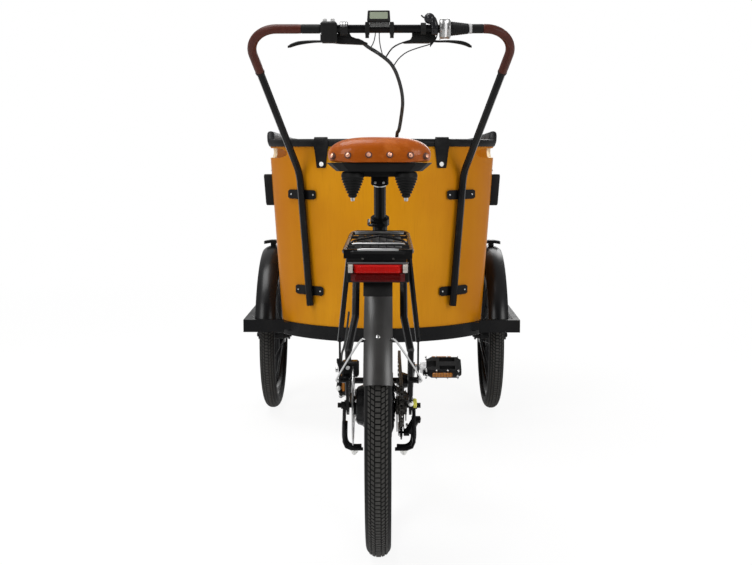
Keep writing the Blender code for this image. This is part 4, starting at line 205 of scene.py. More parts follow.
for name, place, width, power in (
    ("lamp_left", (-3.0, -3.6, 3.0), 2.0, 95), ("lamp_right", (3.2, -2.8, 2.2), 1.8, 75),
    ("lamp_above", (-1.2, 0.0, 4.2), 2.3, 125), ("lamp_front", (1.2, 4.2, 2.6), 2.4, 60),
):
    lamp = bpy.data.objects.new(name, bpy.data.lights.new(name, "AREA"))
    scene.collection.objects.link(lamp)
    lamp.data.size = width
    lamp.data.energy = power
    lamp.location = place
    lamp.rotation_euler = (Vector((0, 0, 0.6)) - lamp.location).to_track_quat("-Z", "Y").to_euler()
    lamp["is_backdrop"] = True


# The rear frame, welded from round steel tube and powder-coated black, with the parts bolted to it.
# The coat is slightly uneven, and dust dulls it in patches.
def powder_coat(place):
    flow = place.noise(420, 2)
    dust = place.noise(9, 5, 0.45, 0.8)
    return {
        "Base Color": dust.between((0.004, 0.004, 0.0045), 0.010),
        "Roughness": 0.18 + flow * 0.08 + dust * 0.12,
        "Relief": (flow, 0.00012),
    }


def dress(material, *nodes):
    """A finish for solids that keep their own shape."""
    for name in nodes:
        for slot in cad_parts[name].material_slots:
            slot.material = material


def at(x, y, z):
    """A place or a shift from millimetres, in which all profiles, sections and radii are given too."""
    return Vector((x / 1000, y / 1000, z / 1000))


def polar(x, angle, radius):
    """A shift by x along the X axis and by radius out from it, at an angle from the front upwards."""
    return at(x, cos(angle) * radius, sin(angle) * radius)


def circle(centre, way, side, radius, sides):
    """A ring of points round a centre, across way."""
    up = way.cross(side)
    return [centre + (side * cos(tau * j / sides) + up * sin(tau * j / sides)) * (radius / 1000)
            for j in range(sides)]


def skin(mesh, rings, closed=False, ends=True):
    """Faces over rings of equal length; closed joins the last ring to the first, and ends are filled."""
    rows = [[mesh.verts.new(point) for point in ring] for ring in rings]
    count = len(rows[0])
    for low, high in zip(rows, rows[1:] + rows[:closed]):
        for j in range(count):
            mesh.faces.new((low[j], low[(j + 1) % count], high[(j + 1) % count], high[j]))
    if ends and not closed:
        mesh.faces.new(rows[0][::-1])
        mesh.faces.new(rows[-1])


def piece(name, material, body, parts=(), loops=(), mesh=None, replaces=(), sharp=35):
    """A shown piece that rides on a body: parts are skinned from end to end, loops closed round."""
    mesh = mesh or bmesh.new()
    for rings in parts:
        skin(mesh, rings)
    for rings in loops:
        skin(mesh, rings, closed=True)
    bmesh.ops.recalc_face_normals(mesh, faces=mesh.faces)
    item = bpy.data.objects.new(name, bpy.data.meshes.new(name))
    mesh.to_mesh(item.data)
    mesh.free()
    scene.collection.objects.link(item)
    item.data.materials.append(material)
    item.data.shade_smooth()
    item.data.set_sharp_from_angle(angle=radians(sharp))
    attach(item, body)
    if replaces:
        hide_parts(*replaces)
    return item


def turned(profile, centre, steps, start=0, sweep=360):
    """Rings of a profile of (along, radius) pairs turned about the X axis, wholly or in part."""
    return [[centre + polar(along, radians(start + sweep * k / steps), radius) for along, radius in profile]
            for k in range(steps if sweep == 360 else steps + 1)]


def swept(route, radius, sides=16):
    """Rings of a round section carried along a route without twist; radius may change along it."""
    radii = radius if isinstance(radius, list) else [radius] * len(route)
    rings, side = [], None
    for i, point in enumerate(route):
        way = (route[min(i + 1, len(route) - 1)] - route[max(i - 1, 0)]).normalized()
        side = side or way.orthogonal()
        side = (side - way * side.dot(way)).normalized()
        rings.append(circle(point, way, side, radii[i], sides))
    return rings


def curved(before, start, end, after, steps):
    """Points from start up to end, not with it, on the smooth curve through all four."""
    square = 2 * before - 5 * start + 4 * end - after
    cube = 3 * start - before - 3 * end + after
    return [0.5 * (2 * start + (end - before) * t + square * t ** 2 + cube * t ** 3)
            for t in (k / steps for k in range(steps))]


def eased(points, steps):
    """A smooth route through points, with steps between each two."""
    padded = [points[0], *points, points[-1]]
    return [point for four in zip(padded, padded[1:], padded[2:], padded[3:])
            for point in curved(*four, steps)] + [points[-1]]


def knob(profile, foot, way, sides):
    """Rings of a small turned piece, such as a screw head, standing on foot along way."""
    way = Vector(way).normalized()
    side = way.orthogonal().normalized()
    return [circle(foot + way * (along / 1000), way, side, max(radius, 0.1), sides)
            for along, radius in profile]


def rect(low_x, high_x, low_y, high_y):
    return (low_x, low_y), (high_x, low_y), (high_x, high_y), (low_x, high_y)


def flat(centre, axis, section):
    """A ring: a flat section drawn across the X, Y or Z axis round a centre."""
    axis = "XYZ".index(axis)
    return [centre + at(*pair[:axis], 0, *pair[axis:]) for pair in section]


def prism(centre, axis, section, stations):
    """Rings of one section at stations along an axis from a centre."""
    along = Vector([letter == axis for letter in "XYZ"])
    return [flat(centre + along * (station / 1000), axis, section) for station in stations]


def mirrored(half):
    """A whole outline from the half of it at positive x."""
    return [*half, *((-x, y) for x, y in reversed(half) if x)]


REAR_AXLE = at(0, -745, 330)
black_coat = finish("black_coat", powder_coat, Specular_IOR_Level=0.11)
dress(black_coat, "rear_frame", "seat_collar", "rear_rack", "rear_axle", "rear_brake_caliper", "derailleur",
      "crank_right", "crank_left", "front_chassis", "handlebar", "seat_post")


# Bare steel and alloy, turned or pressed and left bright, with fine machining lines, for nuts, screws
# and stays; and the grained black plastic of the saddle's base, the pedals and the housings.
def mottled(name, low, high, grain, rough, relief=None, **steady):
    """A finish that drifts between two colours with a grain of noise. Rough is its least roughness, what
    it gains with the grain and the noise that takes the grain's place; relief is a depth and its noise."""
    def worked(place):
        mark = place.noise(*grain)
        least, gain, *own = rough
        varied = {"Base Color": mark.between(low, high),
                  "Roughness": least + (place.noise(*own) if own else mark) * gain}
        if relief:
            depth, *fine = relief
            varied["Relief"] = place.noise(*fine) if fine else mark, depth
        return varied
    return finish(name, worked, **steady)


def machined(name, low, high, least, gain, metallic):
    def worked(place):
        film = place.noise(60, 4)
        return {"Base Color": film.between(low, high), "Roughness": least + film * gain,
                "Relief": ((place * (900, 60, 60)).noise(1, 2), 0.00004)}
    return finish(name, worked, Metallic=metallic)


def moulded(name, specular):
    return finish(name, lambda place: {
        "Base Color": place.noise(14, 4).between(0.005, 0.011),
        "Roughness": 0.46 + place.noise(30, 3) * 0.16,
        "Relief": (place.cells(1500), 0.00005)}, Specular_IOR_Level=specular)


bright = machined("bright", (0.42, 0.42, 0.43), (0.62, 0.62, 0.61), 0.22, 0.18, 1.0)
plastic = moulded("plastic", 0.12)
for name in ("front_chassis", "rear_rack"):
    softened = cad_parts[name].modifiers.new("softened", "BEVEL")
    softened.width = 0.0022
    softened.segments = 2
    softened.angle_limit = radians(50)
    softened.harden_normals = True
dress(bright, "right_pedal_spindle", "left_pedal_spindle")
dress(plastic, "saddle_base", "battery", "tail_light_housing", "right_pedal_platform", "left_pedal_platform")


# Tyres of black rubber, moulded with a centre rib and staggered shoulder blocks, on box-section rims
# of black alloy with black steel spokes laced crosswise to the hub motor and the front hubs.
def tyre(name, body, axle, radius, width, node, rows):
    """A round carcass, and on it rows of moulded blocks: a centre block, two beside it and two shoulders."""
    tube = 24.5
    profile = []
    for i in range(25):
        angle = radians(125) * (i / 12 - 1)
        sunk = 2.4 * max(0.0, cos(angle)) ** 0.7
        profile.append((sin(angle) * width / 2, radius - tube + cos(angle) * (tube - sunk)))
    piece(name, black_rubber, body, loops=[turned(profile, axle, 120)], replaces=(node,), sharp=60)
    blocks = []
    for row in range(rows):
        for low, high, shift, skew in (
                (-5.2, 5.2, 0, 0), (-13.5, -7.2, 0.4, 0.35), (7.2, 13.5, 0.4, -0.35), (-20, -15.5, 0.8, 0.35),
                (15.5, 20, 0.8, -0.35)):
            rings = []
            for lift, narrow in ((-3, 0), (-0.2, 0), (0, 0.5)):
                ring = []
                for x, along in rect(low + narrow, high - narrow, 0.14, 0.86):
                    bend = (x - low) / (high - low) * skew
                    reach = radius - tube + tube * sqrt(max(0.0, 1 - (2 * x / width) ** 2)) + lift
                    ring.append(axle + polar(x, (row + shift + along + bend) * tau / rows, reach))
                rings.append(ring)
            blocks.append(rings)
    piece(name.replace("shown", "tread"), lit_tread_rubber, body, blocks, sharp=30)


def spokes(axle, count, flange_x, flange_radius, rim_radius):
    """Each spoke leaves its flange, crosses its neighbours and ends in a nipple in the rim."""
    parts = []
    for i in range(count):
        side = 1 if i % 2 else -1
        lead = 1 if (i // 2) % 2 else -1
        at_rim = tau * i / count
        hub = axle + polar(side * (flange_x + lead * 1.3), at_rim - lead * 2 * tau / count, flange_radius)
        rim = axle + polar(side * 1.3, at_rim, rim_radius)
        nipple = rim + (hub - rim).normalized() * 0.014
        parts += [swept([hub, nipple], 1.1, 6), swept([nipple, rim], 2.1, 6)]
    return parts


def rim_section(seat):
    """The rim's section: bead seat between two low flanges, deep walls and a rounded spoke bed."""
    return mirrored([(11.9, seat - 1.8), (12.4, seat - 0.3), (14.9, seat - 0.3), (14.9, seat - 11.3),
                     (11.9, seat - 14.8), (6.705, seat - 20.3), (0, seat - 21.8)])


black_rubber = mottled("black_rubber", 0.004, 0.010, (24, 5, 0.42, 0.75), (0.62, 0.2), (0.00008, 900, 2),
                       Specular_IOR_Level=0.1)
# The tread's blocks get a lighter grey rubber than the carcass they are moulded in one with: painted light on
# the block tops, which sets them off from the darker grooves.
lit_tread_rubber = mottled("lit_tread_rubber", (0.020, 0.020, 0.0190), (0.068, 0.066, 0.062), (160, 5), (0.6, 0.25),
                       (0.0002,), Specular_IOR_Level=0.15)
tyre("rear_tyre_shown", "rear_wheel", REAR_AXLE, 330, 54.5, "rear_tyre", 190)
flanges = [knob([(x - 3, 62.4), (x - 3, 71.2), (x + 3, 71.2), (x + 3, 62.4)], REAR_AXLE, (1, 0, 0), 48)
           for x in (-26, 26)]
piece("rear_rim_shown", black_coat, "rear_wheel", flanges + spokes(REAR_AXLE, 24, 26, 67.2, 272.5),
      [turned(rim_section(289), REAR_AXLE, 96)], replaces=("rear_rim_and_spokes",))
front_hub = mirrored([(25, 15.5), (33.5, 17.5), (34, 26.8), (38, 26.2), (38.5, 14), (49, 12), (49, 5.8)])
for word, side in (("left", -1), ("right", 1)):
    axle = at(side * 380, 575, 254)
    body = f"{word}_front_wheel"
    tyre(f"{word}_tyre_shown", body, axle, 254, 50, f"{word}_front_tyre", 146)
    piece(f"{word}_wheel_shown", black_coat, body, spokes(axle, 16, 34.4, 23, 196.5),
          [turned(front_hub, axle, 32), turned(rim_section(213), axle, 96)], replaces=(body,))


# The hub motor turns in the rear wheel: a cast alloy shell, painted black, with cooling ribs cast in
# its face and a bolted side cover, and on its left the steel rotor of the disc brake.
ribbed = [(-60.6, 6.5), (-60.6, 21.8), (-53.5, 21.8), (-53, 23.5), (-52.2, 30), (-50.5, 38.5), (-47, 42.5),
          (-37, 46), (-33.5, 50), (-30, 60.5), (-28, 61.8)]
for i in range(6):
    x = 6.6 * i - 16.5
    ribbed += [(x - 2.2, 61.8), (x - 1.6, 60.6), (x + 1.6, 60.6), (x + 2.2, 61.8)]
ribbed += [(28, 61.8), (30, 60.5), (33.5, 50), (34, 48), (34, 30), (37.2, 14.4), (63.2, 14.4), (63.2, 6.5)]
piece("hub_motor_shown", black_coat, "rear_wheel", loops=[turned(ribbed, REAR_AXLE, 64)],
      replaces=("hub_motor",))
head = [(-1, 3.6), (1.8, 3.6), (2.6, 2.8), (2.6, 1.5), (1, 1.3)]
piece("motor_screws", bright, "rear_wheel", [
    knob(head, REAR_AXLE + polar(x, tau * (i + 0.5) / 6, 34), (x, 0, 0), 12)
    for x in (-51.5, 33.5) for i in range(6)])


def drilled_ring(centre, inner, outer, thick, cells):
    """A disc brake's band: each cell is a piece of the ring with one round hole through it."""
    mesh = bmesh.new()
    hole_radius = 3
    mid, half = (inner + outer) / 2, pi / cells
    for cell in range(cells):
        middle = tau * (cell + 0.5) / cells
        lean = mid + (outer - inner) * 0.20 * sin(cell * tau / 3)
        rim, hole = [], []
        for turn, radius in ((-1, inner), (0, inner), (1, inner), (1, mid),
                             (1, outer), (0, outer), (-1, outer), (-1, mid)):
            rim.append((middle + turn * half, radius))
            spot = atan2(radius - lean, turn * half * lean)
            hole.append((middle + cos(spot) * hole_radius / lean, lean + sin(spot) * hole_radius))
        sides = [[mesh.verts.new(centre + polar(x, *point)) for point in loop]
                 for loop in (rim, hole) for x in (-thick / 2, thick / 2)]
        for j in range(8):
            k = (j + 1) % 8
            for a, b in ((0, 2), (1, 3), (2, 3), (0, 1)) if j in (0, 1, 4, 5) else ((0, 2), (1, 3), (2, 3)):
                mesh.faces.new((sides[a][j], sides[a][k], sides[b][k], sides[b][j]))
    bmesh.ops.remove_doubles(mesh, verts=mesh.verts, dist=0.00002)
    return mesh


def slab(outline, way, thick):
    """Rings of a flat plate with an outline, thick along way."""
    half = Vector(way).normalized() * (thick / 2000)
    return [[p - half for p in outline], [p + half for p in outline]]


oily_steel = mottled("oily_steel", (0.035, 0.032, 0.028), (0.120, 0.116, 0.108), (90, 4), (0.32, 0.2),
                     (0.00005, 700, 2), Metallic=1.0)
rotor_centre = REAR_AXLE + at(-58.5, 0, 0)
arms = []
for i in range(5):
    low, high = polar(0, tau * i / 5, 29), polar(0, tau * i / 5 + 0.5, 76.5)
    wide = (high - low).normalized().cross(Vector((1, 0, 0)))
    for foot in (low - wide * 0.006, low + wide * 0.006):
        outline = [rotor_centre + point + wide * out for point, out in (
            (foot, -0.0022), (foot, 0.0022), (high, 0.0022), (high, -0.0022))]
        arms.append(slab(outline, (1, 0, 0), 1.8))
piece("rotor_shown", bright, "rear_wheel", arms, [turned(rect(-1, 1, 22.4, 31), rotor_centre, 48)],
      mesh=drilled_ring(rotor_centre, 75, 90, 2, 36), replaces=("rear_brake_rotor",), sharp=30)


# The chain runs from the chainring over the middle sprocket and back through the gear changer's two
# pulleys. Its links are pressed steel plates on rollers, riveted in pairs.
PITCH = 12.7


def pitch_radius(teeth):
    return PITCH / (2 * sin(pi / teeth))


def chain_path():
    """Points of the chain's middle line round its four wheels, 2 mm or so apart."""
    pulley = pitch_radius(11)
    guide = REAR_AXLE + Vector((0, 0.2075, -0.9782)) * ((pitch_radius(22) + pulley + 0.3) / 1000)
    wheels = [(at(0, -315, 290), pitch_radius(38), 1), (REAR_AXLE, pitch_radius(22), 1),
              (guide, pulley, -1), (guide + at(0, 2 * pulley + 5, 2), pulley, 1)]
    headings = []
    for (centre, radius, turn), (after, after_radius, after_turn) in zip(wheels, wheels[1:] + wheels[:1]):
        gap = (after - centre) * 1000
        headings.append(atan2(gap.z, gap.y) + asin((turn * radius - after_turn * after_radius) / gap.length))
    path = []
    for i, (centre, radius, turn) in enumerate(wheels):
        sweep = (headings[i] - headings[i - 1]) * turn % tau * turn
        steps = max(4, int(abs(sweep) * radius / 2))
        path += [centre + polar(0, headings[i - 1] + sweep * k / steps - pi / 2, radius * turn)
                 for k in range(steps + 1)]
    return path + path[:1]


def length_of(route):
    return sum((q - p).length for p, q in zip(route, route[1:]))


def evenly(dense, count):
    """Points of a dense route that part it into count even steps, with its two ends."""
    step = length_of(dense) / count
    spaced, walked = [dense[0]], 0.0
    for p, q in zip(dense, dense[1:]):
        gap = (q - p).length
        while len(spaced) < count and walked + gap >= step * len(spaced):
            spaced.append(p.lerp(q, (step * len(spaced) - walked) / gap))
        walked += gap
    return spaced + [dense[-1]]


def link(start, end, wide):
    """Two plates, waisted between their rivets, with a rivet and a roller at the first of them."""
    way = (end - start).normalized()
    side = Vector((1, 0, 0))
    up = way.cross(side)
    outline = []
    for eye, first in ((end, -90), (start, 90)):
        for k in range(6):
            angle = radians(first + 36 * k)
            outline.append(eye + (way * cos(angle) + up * sin(angle)) * 0.0040)
        outline.append((start + end) / 2 + up * (-0.0028 if first > 0 else 0.0028))
    return [slab([point + side * (x / 1000) for point in outline], side, 1) for x in (-wide, wide)] + [
        knob([(-half, radius), (half, radius)], start, side, sides)
        for half, radius, sides in ((3.7, 1.6, 6), (1.5, 3.4, 8))]


path = [point + at(50.5, 0, 0) for point in chain_path()]  # in the plane of the middle sprocket
rivets = evenly(path, round(length_of(path) * 1000 / PITCH / 2) * 2)
links = []
for i, (start, end) in enumerate(zip(rivets, rivets[1:])):
    links += link(start, end, 1.8 if i % 2 else 2.9)
piece("chain_links", oily_steel, "frame", links, replaces=("chain",))


def toothed(centre, teeth, thick, inner):
    """A sprocket: a plate with hooked teeth and a round hole."""
    rings = []
    for k in range(teeth):
        for share, rise in ((0.0, -4.5), (0.22, -4), (0.38, 1.2), (0.5, 2.4), (0.62, 1.2), (0.78, -4)):
            rings.append([centre + polar(x, tau * (k + share) / teeth, radius) for x, radius in
                          rect(-thick / 2, thick / 2, pitch_radius(teeth) + rise, inner)])
    return rings


cluster = [turned(rect(37.5, 62.5, 15, 20.5), REAR_AXLE, 32)]
for x, teeth in ((40.5, 28), (45.5, 25), (50.5, 22), (55.5, 19), (60.5, 16)):
    cluster.append(toothed(REAR_AXLE + at(x, 0, 0), teeth, 1.9, 19.5))
piece("sprockets", oily_steel, "cassette", loops=cluster, replaces=("cassette",), sharp=30)


# The hub's axle carries a yellow washer. White caps close the changer's stop and the brake's adjuster,
# both of black plastic, and bright bolts sit in the brake, the changer and the fork ends.
yellow_washer = mottled("yellow_washer", (0.55, 0.55, 0.05), (0.70, 0.66, 0.10), (300,), (0.4, 0.2, 80))
white_cap = mottled("white_cap", (0.72, 0.72, 0.70), (0.82, 0.82, 0.80), (200,), (0.3, 0.2, 90))
for name, material, sides, caps in (
    ("axle_washer", yellow_washer, 28, (
        ((76.5, -4, 6), (1, 0, 0), ((0, 8.5), (0.8, 10.8), (6.4, 10.8), (8.6, 8.5), (9, 0))),)),
    ("axle_caps", white_cap, 24, (
        ((70.5, -16, 8.5), (0.1, -1, 0.1), ((-4, 6.4), (4, 6.8), (7.5, 5.8), (9.5, 3.4), (10, 0))),
        ((-90.5, -10, 41.5), (-0.3, -1, 0.1), ((-3, 5), (3, 5.6), (6, 4.8), (7.5, 2.6), (7.8, 0))))),
):
    piece(name, material, "frame", [
        knob(profile, REAR_AXLE + at(*spot), way, sides) for spot, way, profile in caps])
piece("brake_adjuster", plastic, "frame", [
    swept([REAR_AXLE + at(*spot) for spot in route], radius, 12) for radius, route in (
        ([4.6, 6, 6.4, 4], ((-80, 4, 66), (-89, -3, 56), (-90.5, -8, 41.5), (-86, -6, 29))),
        (4.8, ((69, 2, 3), (70, -10, 6), (70.5, -18, 8.5))))])
piece("rear_bolts", bright, "frame", [
    knob([(-3, size), (1.6, size), (2.4, size * 0.8), (2.4, size * 0.45), (0.8, size * 0.4)],
         at(*spot), way, 12)
    for spot, way, size in (
        ((-96, -748, 412), (-1, 0, 0), 5.5), ((-70, -764, 420), (0, -1, 0), 4.5),
        ((93, -733, 294), (1, 0, 0), 5.5), ((64.5, -730.5, 265), (1, 0, 0), 4.5),
        ((64.5, -681, 267), (1, 0, 0), 4.5), ((93.5, -775, 395), (1, 0, 0), 4.6),
        ((-93.5, -775, 395), (-1, 0, 0), 4.6))])


# Pedals: moulded bodies that fold on a hinge, with amber reflectors set in front and back and rows of
# steel studs that hold the shoe.
amber = finish("amber", lambda place: {
    "Base Color": (place.across(0) * 900).wave().rising(-1, 1).between(
        (0.22, 0.070, 0.003), (0.36, 0.13, 0.008)),
    "Relief": (place.cells(700), 0.0003)}, Roughness=0.2, Specular_IOR_Level=0.3)


def edge_round(corners, round_by, steps=4):
    """An outline of points with each corner rounded."""
    outline = []
    for before, corner, after in zip(corners[-1:] + corners, corners, corners[1:] + corners[:1]):
        before, after = ((point - corner).normalized() * (round_by / 1000) for point in (before, after))
        outline += [corner + before * (1 - k / steps) ** 2 + after * (k / steps) ** 2
                    for k in range(steps + 1)]
    return outline


for word, centre, across, depth, top in (
    ("right", at(156, -470.3, 359), Vector((1, 0, 0)), Vector((0, 0.866, 0.5)), Vector((0, -0.5, 0.866))),
    ("left", at(-104.3, -159.7, 256.7), Vector((0, 0, 1)), Vector((0, 1, 0)), Vector((-1, 0, 0))),
):
    body = f"{word}_pedal_platform"
    reflectors, studs = [], []
    for way in (-1, 1):
        face = centre + depth * 0.0312 * way
        corners = [face + (across * x + top * z) / 1000 for x, z in rect(-25, 25, -3, 8.5)]
        reflectors.append(slab(edge_round(corners, 3), depth, 3.6))
        for x in (-0.040, -0.014, 0.014, 0.040):
            for up in (-1, 1):
                foot = centre + depth * 0.026 * way + across * x + top * 0.0118 * up
                studs.append(knob([(-2, 2.1), (2.2, 2.1), (2.6, 1.2)], foot, top * up, 10))
        for x in (-0.038, 0.038):
            studs.append(knob([(-2, 2.8), (1.2, 2.6), (1.8, 1.4)], face + across * x, depth * way, 10))
    piece(f"{word}_reflectors", amber, body, reflectors)
    piece(f"{word}_studs", bright, body, studs)


# The centre stand is folded up behind the hub: two bent legs of black-coated steel tube that curl in
# under the axle, each with a pale rubber foot.
legs, feet = [], []
for side in (-1, 1):
    route = [REAR_AXLE + at(side * x, y, z) for x, y, z in (
        (78, 12, -40), (78.5, 12, -60), (78.2, 12, -78), (74, 11, -90.5), (64, 10, -97.5), (52, 10, -99),
        (40, 10, -98.5))]
    legs.append(swept(eased(route, 4), 6.6))
    foot = REAR_AXLE + at(side * 56, 8, -104)
    feet.append(knob([(-3, 9), (5, 8.8), (9.5, 6), (13, 3)], foot, (side * 0.12, 0, -1), 20))
piece("stand_legs", black_coat, "frame", legs)
piece("stand_feet", white_cap, "frame", feet)


# The rear mudguard is a satin black strip rolled to a crown, with its edges turned in, riveted to a
# bright steel stay that runs down on both sides to the eyelets of the fork ends.
def guard(centre, radius, width, start, end, steps):
    """A thin crowned strip round a wheel between two angles from the back, with rolled edges."""
    half, crown = width / 2, width * 0.19
    bow = (half ** 2 + crown ** 2) / (2 * crown)
    crest = [(x, radius + 3 - bow + sqrt(bow ** 2 - x ** 2)) for x in (half * (i / 7 - 1) for i in range(15))]
    lip = crest[0][1]
    section = crest + [(half, lip - 2.4), (half - 1.6, lip - 2.6)]
    section += [(x * 0.97, reach - 1.8) for x, reach in crest[13:0:-1]]
    section += [(1.6 - half, lip - 2.6), (-half, lip - 2.4)]
    return turned(section, centre, steps, 180 - start, start - end)


satin_black = mottled("satin_black", (0.024, 0.023, 0.0225), (0.036, 0.035, 0.0340), (36, 4), (0.27, 0.10),
                      (0.00006, 500, 2), Specular_IOR_Level=0.42)
piece("rear_guard_shown", satin_black, "frame", [guard(REAR_AXLE, 340.5, 58, 20.5, 176, 72)],
      replaces=("rear_mudguard",), sharp=40)
riveted = radians(180 - 37)
head = [(0, 4.2), (1, 4), (1.8, 2.6), (2.1, 0)]
rods = [knob(head, REAR_AXLE + polar(0, riveted, 343.3), polar(0, riveted, 1), 16)]
for side in (-1, 1):
    foot = at(side * 91.8, -775, 395)
    bend = REAR_AXLE + polar(side * 39, riveted, 317)
    clear = foot + (bend - foot).normalized() * 0.020
    clear.x = foot.x
    rods.append(swept(eased([REAR_AXLE + polar(side * 26, riveted, 331), bend, clear, foot], 5), 2.1, 10))
    rods.append(knob([(-2.2, 5.8), (2.2, 5.8)], foot, (side, 0, 0), 20))
piece("guard_stays", bright, "frame", rods)


# The front mudguards are moulded in glossy black, deeper than the rear one, and hang from steel
# brackets bolted to the sides of the box.
gloss_black = mottled("gloss_black", (0.004, 0.004, 0.0045), (0.008, 0.008, 0.0085), (18, 3), (0.24, 0.10),
                      (0.0004,), Specular_IOR_Level=0.26)
for word, side in (("left", -1), ("right", 1)):
    centre = at(side * 380, 575, 264)
    piece(f"{word}_guard_shown", gloss_black, "front", [guard(centre, 303, 65, 16, 152, 60)], sharp=40,
          replaces=(f"{word}_front_mudguard",))
    crest = centre + at(0, 0, 305.5)
    bridge = []
    for x in (-33, -29, -12, 0, 12, 29, 33):
        half = 8 if abs(x) == 33 else 16
        bridge.append(flat(crest + at(x, 0, 16.5 - 4.5 * (x / 33) ** 2), "X", rect(-half, half, -6, 4)))
    strut = prism(crest, "Z", rect(-9, 9, -13, 13), (-2, 16))
    arm = [flat(crest + at(x, 0, z), "X", rect(-14, 14, -4, 0)) for x, z in ((-40 * side, 20), (0, 17.8))]
    foot = prism(crest, "X", rect(-20, 20, -12, 34), (-42 * side, -37 * side))
    piece(f"{word}_guard_bracket", black_coat, "front", [bridge, strut, arm, foot])
    piece(f"{word}_guard_bolts", bright, "front", [
        knob([(-1, 4.5), (2, 4.4), (3, 3), (3, 0)], crest + at(x, 0, z), way, 16)
        for x, z, way in ((0, 18, (0, 0, 1)), (-37 * side, 10, (side, 0, 0)))])


# The tail light: a black housing with a grey lip, and a moulded lens, bright red above a deep red
# reflector, with clear end caps.
def lens_bar(low_x, high_x, low_z, high_z, depth, back=-1056.3):
    """A bar of lens, rounded to the back and at both ends."""
    half = (high_z - low_z) / 2
    rings = []
    for i in range(13):
        out = depth * min(1, sqrt(max(min(i, 12 - i) / 12, 0.004) / 0.08))
        section = [(0, -half), (-out * 0.8, -half), (-out, -half * 0.6)]
        section += [(y, -z) for y, z in reversed(section)]
        rings.append(flat(at(low_x + (high_x - low_x) * i / 12, back, low_z + half), "X", section))
    return rings


bright_red = finish("bright_red", lambda place: {
    "Base Color": place.noise(60).between((0.30, 0.003, 0.002), (0.45, 0.005, 0.003)),
    "Relief": ((place.across(0) * 1500).wave(), 0.0002)}, Roughness=0.2, Specular_IOR_Level=0.15)
deep_red = finish("deep_red", lambda place: {
    "Base Color": place.cells(420).between((0.030, 0.0006, 0.0006), (0.090, 0.001, 0.001)),
    "Relief": (place.cells(420), 0.0006)}, Roughness=0.2, Specular_IOR_Level=0.1)
clear_cap = finish("clear_cap", lambda place: {
    "Base Color": place.cells(500).between((0.28, 0.25, 0.22), (0.48, 0.44, 0.40)),
    "Relief": (place.cells(500), 0.0004)}, Roughness=0.15, Coat_Weight=0.6)
grey_lip = mottled("grey_lip", (0.05, 0.05, 0.055), (0.09, 0.09, 0.095), (50,), (0.35, 0.1, 90))
piece("light_upper", bright_red, "frame", [lens_bar(-47.5, 47.5, 670, 685.8, 14.5)],
      replaces=("tail_light_lens",))
piece("light_lower", deep_red, "frame", [lens_bar(-52.5, 52.5, 653, 669.4, 12)])
piece("light_ends", clear_cap, "frame", [lens_bar(x - 5.2, x + 5.2, 670.4, 686.6, 12.5) for x in (-53, 53)])
piece("light_lip", grey_lip, "frame", [lens_bar(-60, 60, 686.6, 689.2, 15, -1045.5)])


# The rack's deck is a slatted black moulding between three bright cross tubes, which stand for the
# highlights of glossy black tube: painted highlight. A sprung wire clip lies on the deck. The light hangs
# from a black bracket screwed under the rack's end, and a black flap bends down from it over the
# mudguard: a dark sheet in the shadow under the light, painted shadow.
origin = Vector()
piece("light_bracket", plastic, "frame", [prism(origin, "X", rect(-1044.5, -1041.5, 680, 704), (-56, 56))])
piece("rack_screws", oily_steel, "frame", [
    knob([(0, 2.4), (1, 2.3), (1.6, 1.4), (1.6, 0)], at(x, -1044.5, 695), (0, -1, 0), 12) for x in (-30, 30)])
slat = mirrored([(7.5, 705), (7.5, 709.8), (6, 710.8)])
piece("rack_deck", black_rubber, "frame", [
    prism(at(x, 0, 0), "Y", slat, (-1034, -676)) for x in (-40.5, -24.3, -8.1, 8.1, 24.3, 40.5)] + [
    prism(at(0, y, 0), "X", rect(-6, 6, 703, 706), (-54, 54)) for y in (-990, -925, -860, -795, -730)])
# Thin tubes, bright all over, along the tops of the glossy black cross tubes: painted highlight.
piece("rack_painted_highlight_tubes", bright, "frame", [
    swept([at(-half, y, z - 1), at(-half * 0.8, y, z), at(half * 0.8, y, z), at(half, y, z - 1)], 3, 12)
    for y, z, half in ((-671, 716.5, 56), (-924, 713, 54), (-1043, 712.5, 40))])
# A black flap hanging under the light stands for the shadow there: painted shadow.
painted_shade = mirrored([(0, -1.5), (20, 0), (28.5, 4), (28.5, 7), (20, 3), (0, 1.5)])
piece("painted_shadow_flap", plastic, "frame", [
    [flat(at(0, y, z), "Z", painted_shade) for y, z in ((-1045.5, 651), (-1052, 638), (-1056, 623))]])
half_clip = [(0, -788, 718.2), (6, -792, 718), (50, -862, 715), (56, -880, 711.5)]
clip = [at(-x, y, z) for x, y, z in half_clip[:0:-1]] + [at(*spot) for spot in half_clip]
piece("rack_clip", black_coat, "frame", [swept(eased(clip, 5), 2.4, 10)])


# The saddle: thick tan leather, wet-moulded over a padded shell and fixed round its edge with large
# hammered copper rivets, on a black pan with bright rails and two rubber-cased coil springs.
POST_TOP = at(0, -545.53, 833.1)
WIDEST = 121


def tan_hide(place):
    pores = place.cells(420)
    cloud = place.noise(16, 5)
    worn = place.noise(40, 6, 0.5, 0.8)
    tan = cloud.between((0.25, 0.048, 0.003), (0.39, 0.088, 0.006))
    return {
        "Base Color": worn.between(tan, (0.46, 0.125, 0.020)),
        "Roughness": 0.26 + pores * 0.08 + worn * 0.12,
        "Relief": (pores + cloud * 0.6, 0.00045),
    }


def saddle_point(x, share, above):
    """A point of the saddle: share is 0 at its back and 1 at its nose."""
    return POST_TOP + at(x, 275 * share - 179.5, above)


def half_width(share):
    if share < 0.18:
        return WIDEST * sqrt(1 - (1 - share / 0.18) ** 2 * 0.72)
    if share < 0.72:
        along = (share - 0.18) / 0.54
        return WIDEST * (1 - 0.76 * (3 * along ** 2 - 2 * along ** 3))
    return WIDEST * 0.24 * sqrt(max(0.0, 1 - ((share - 0.72) / 0.30) ** 2))


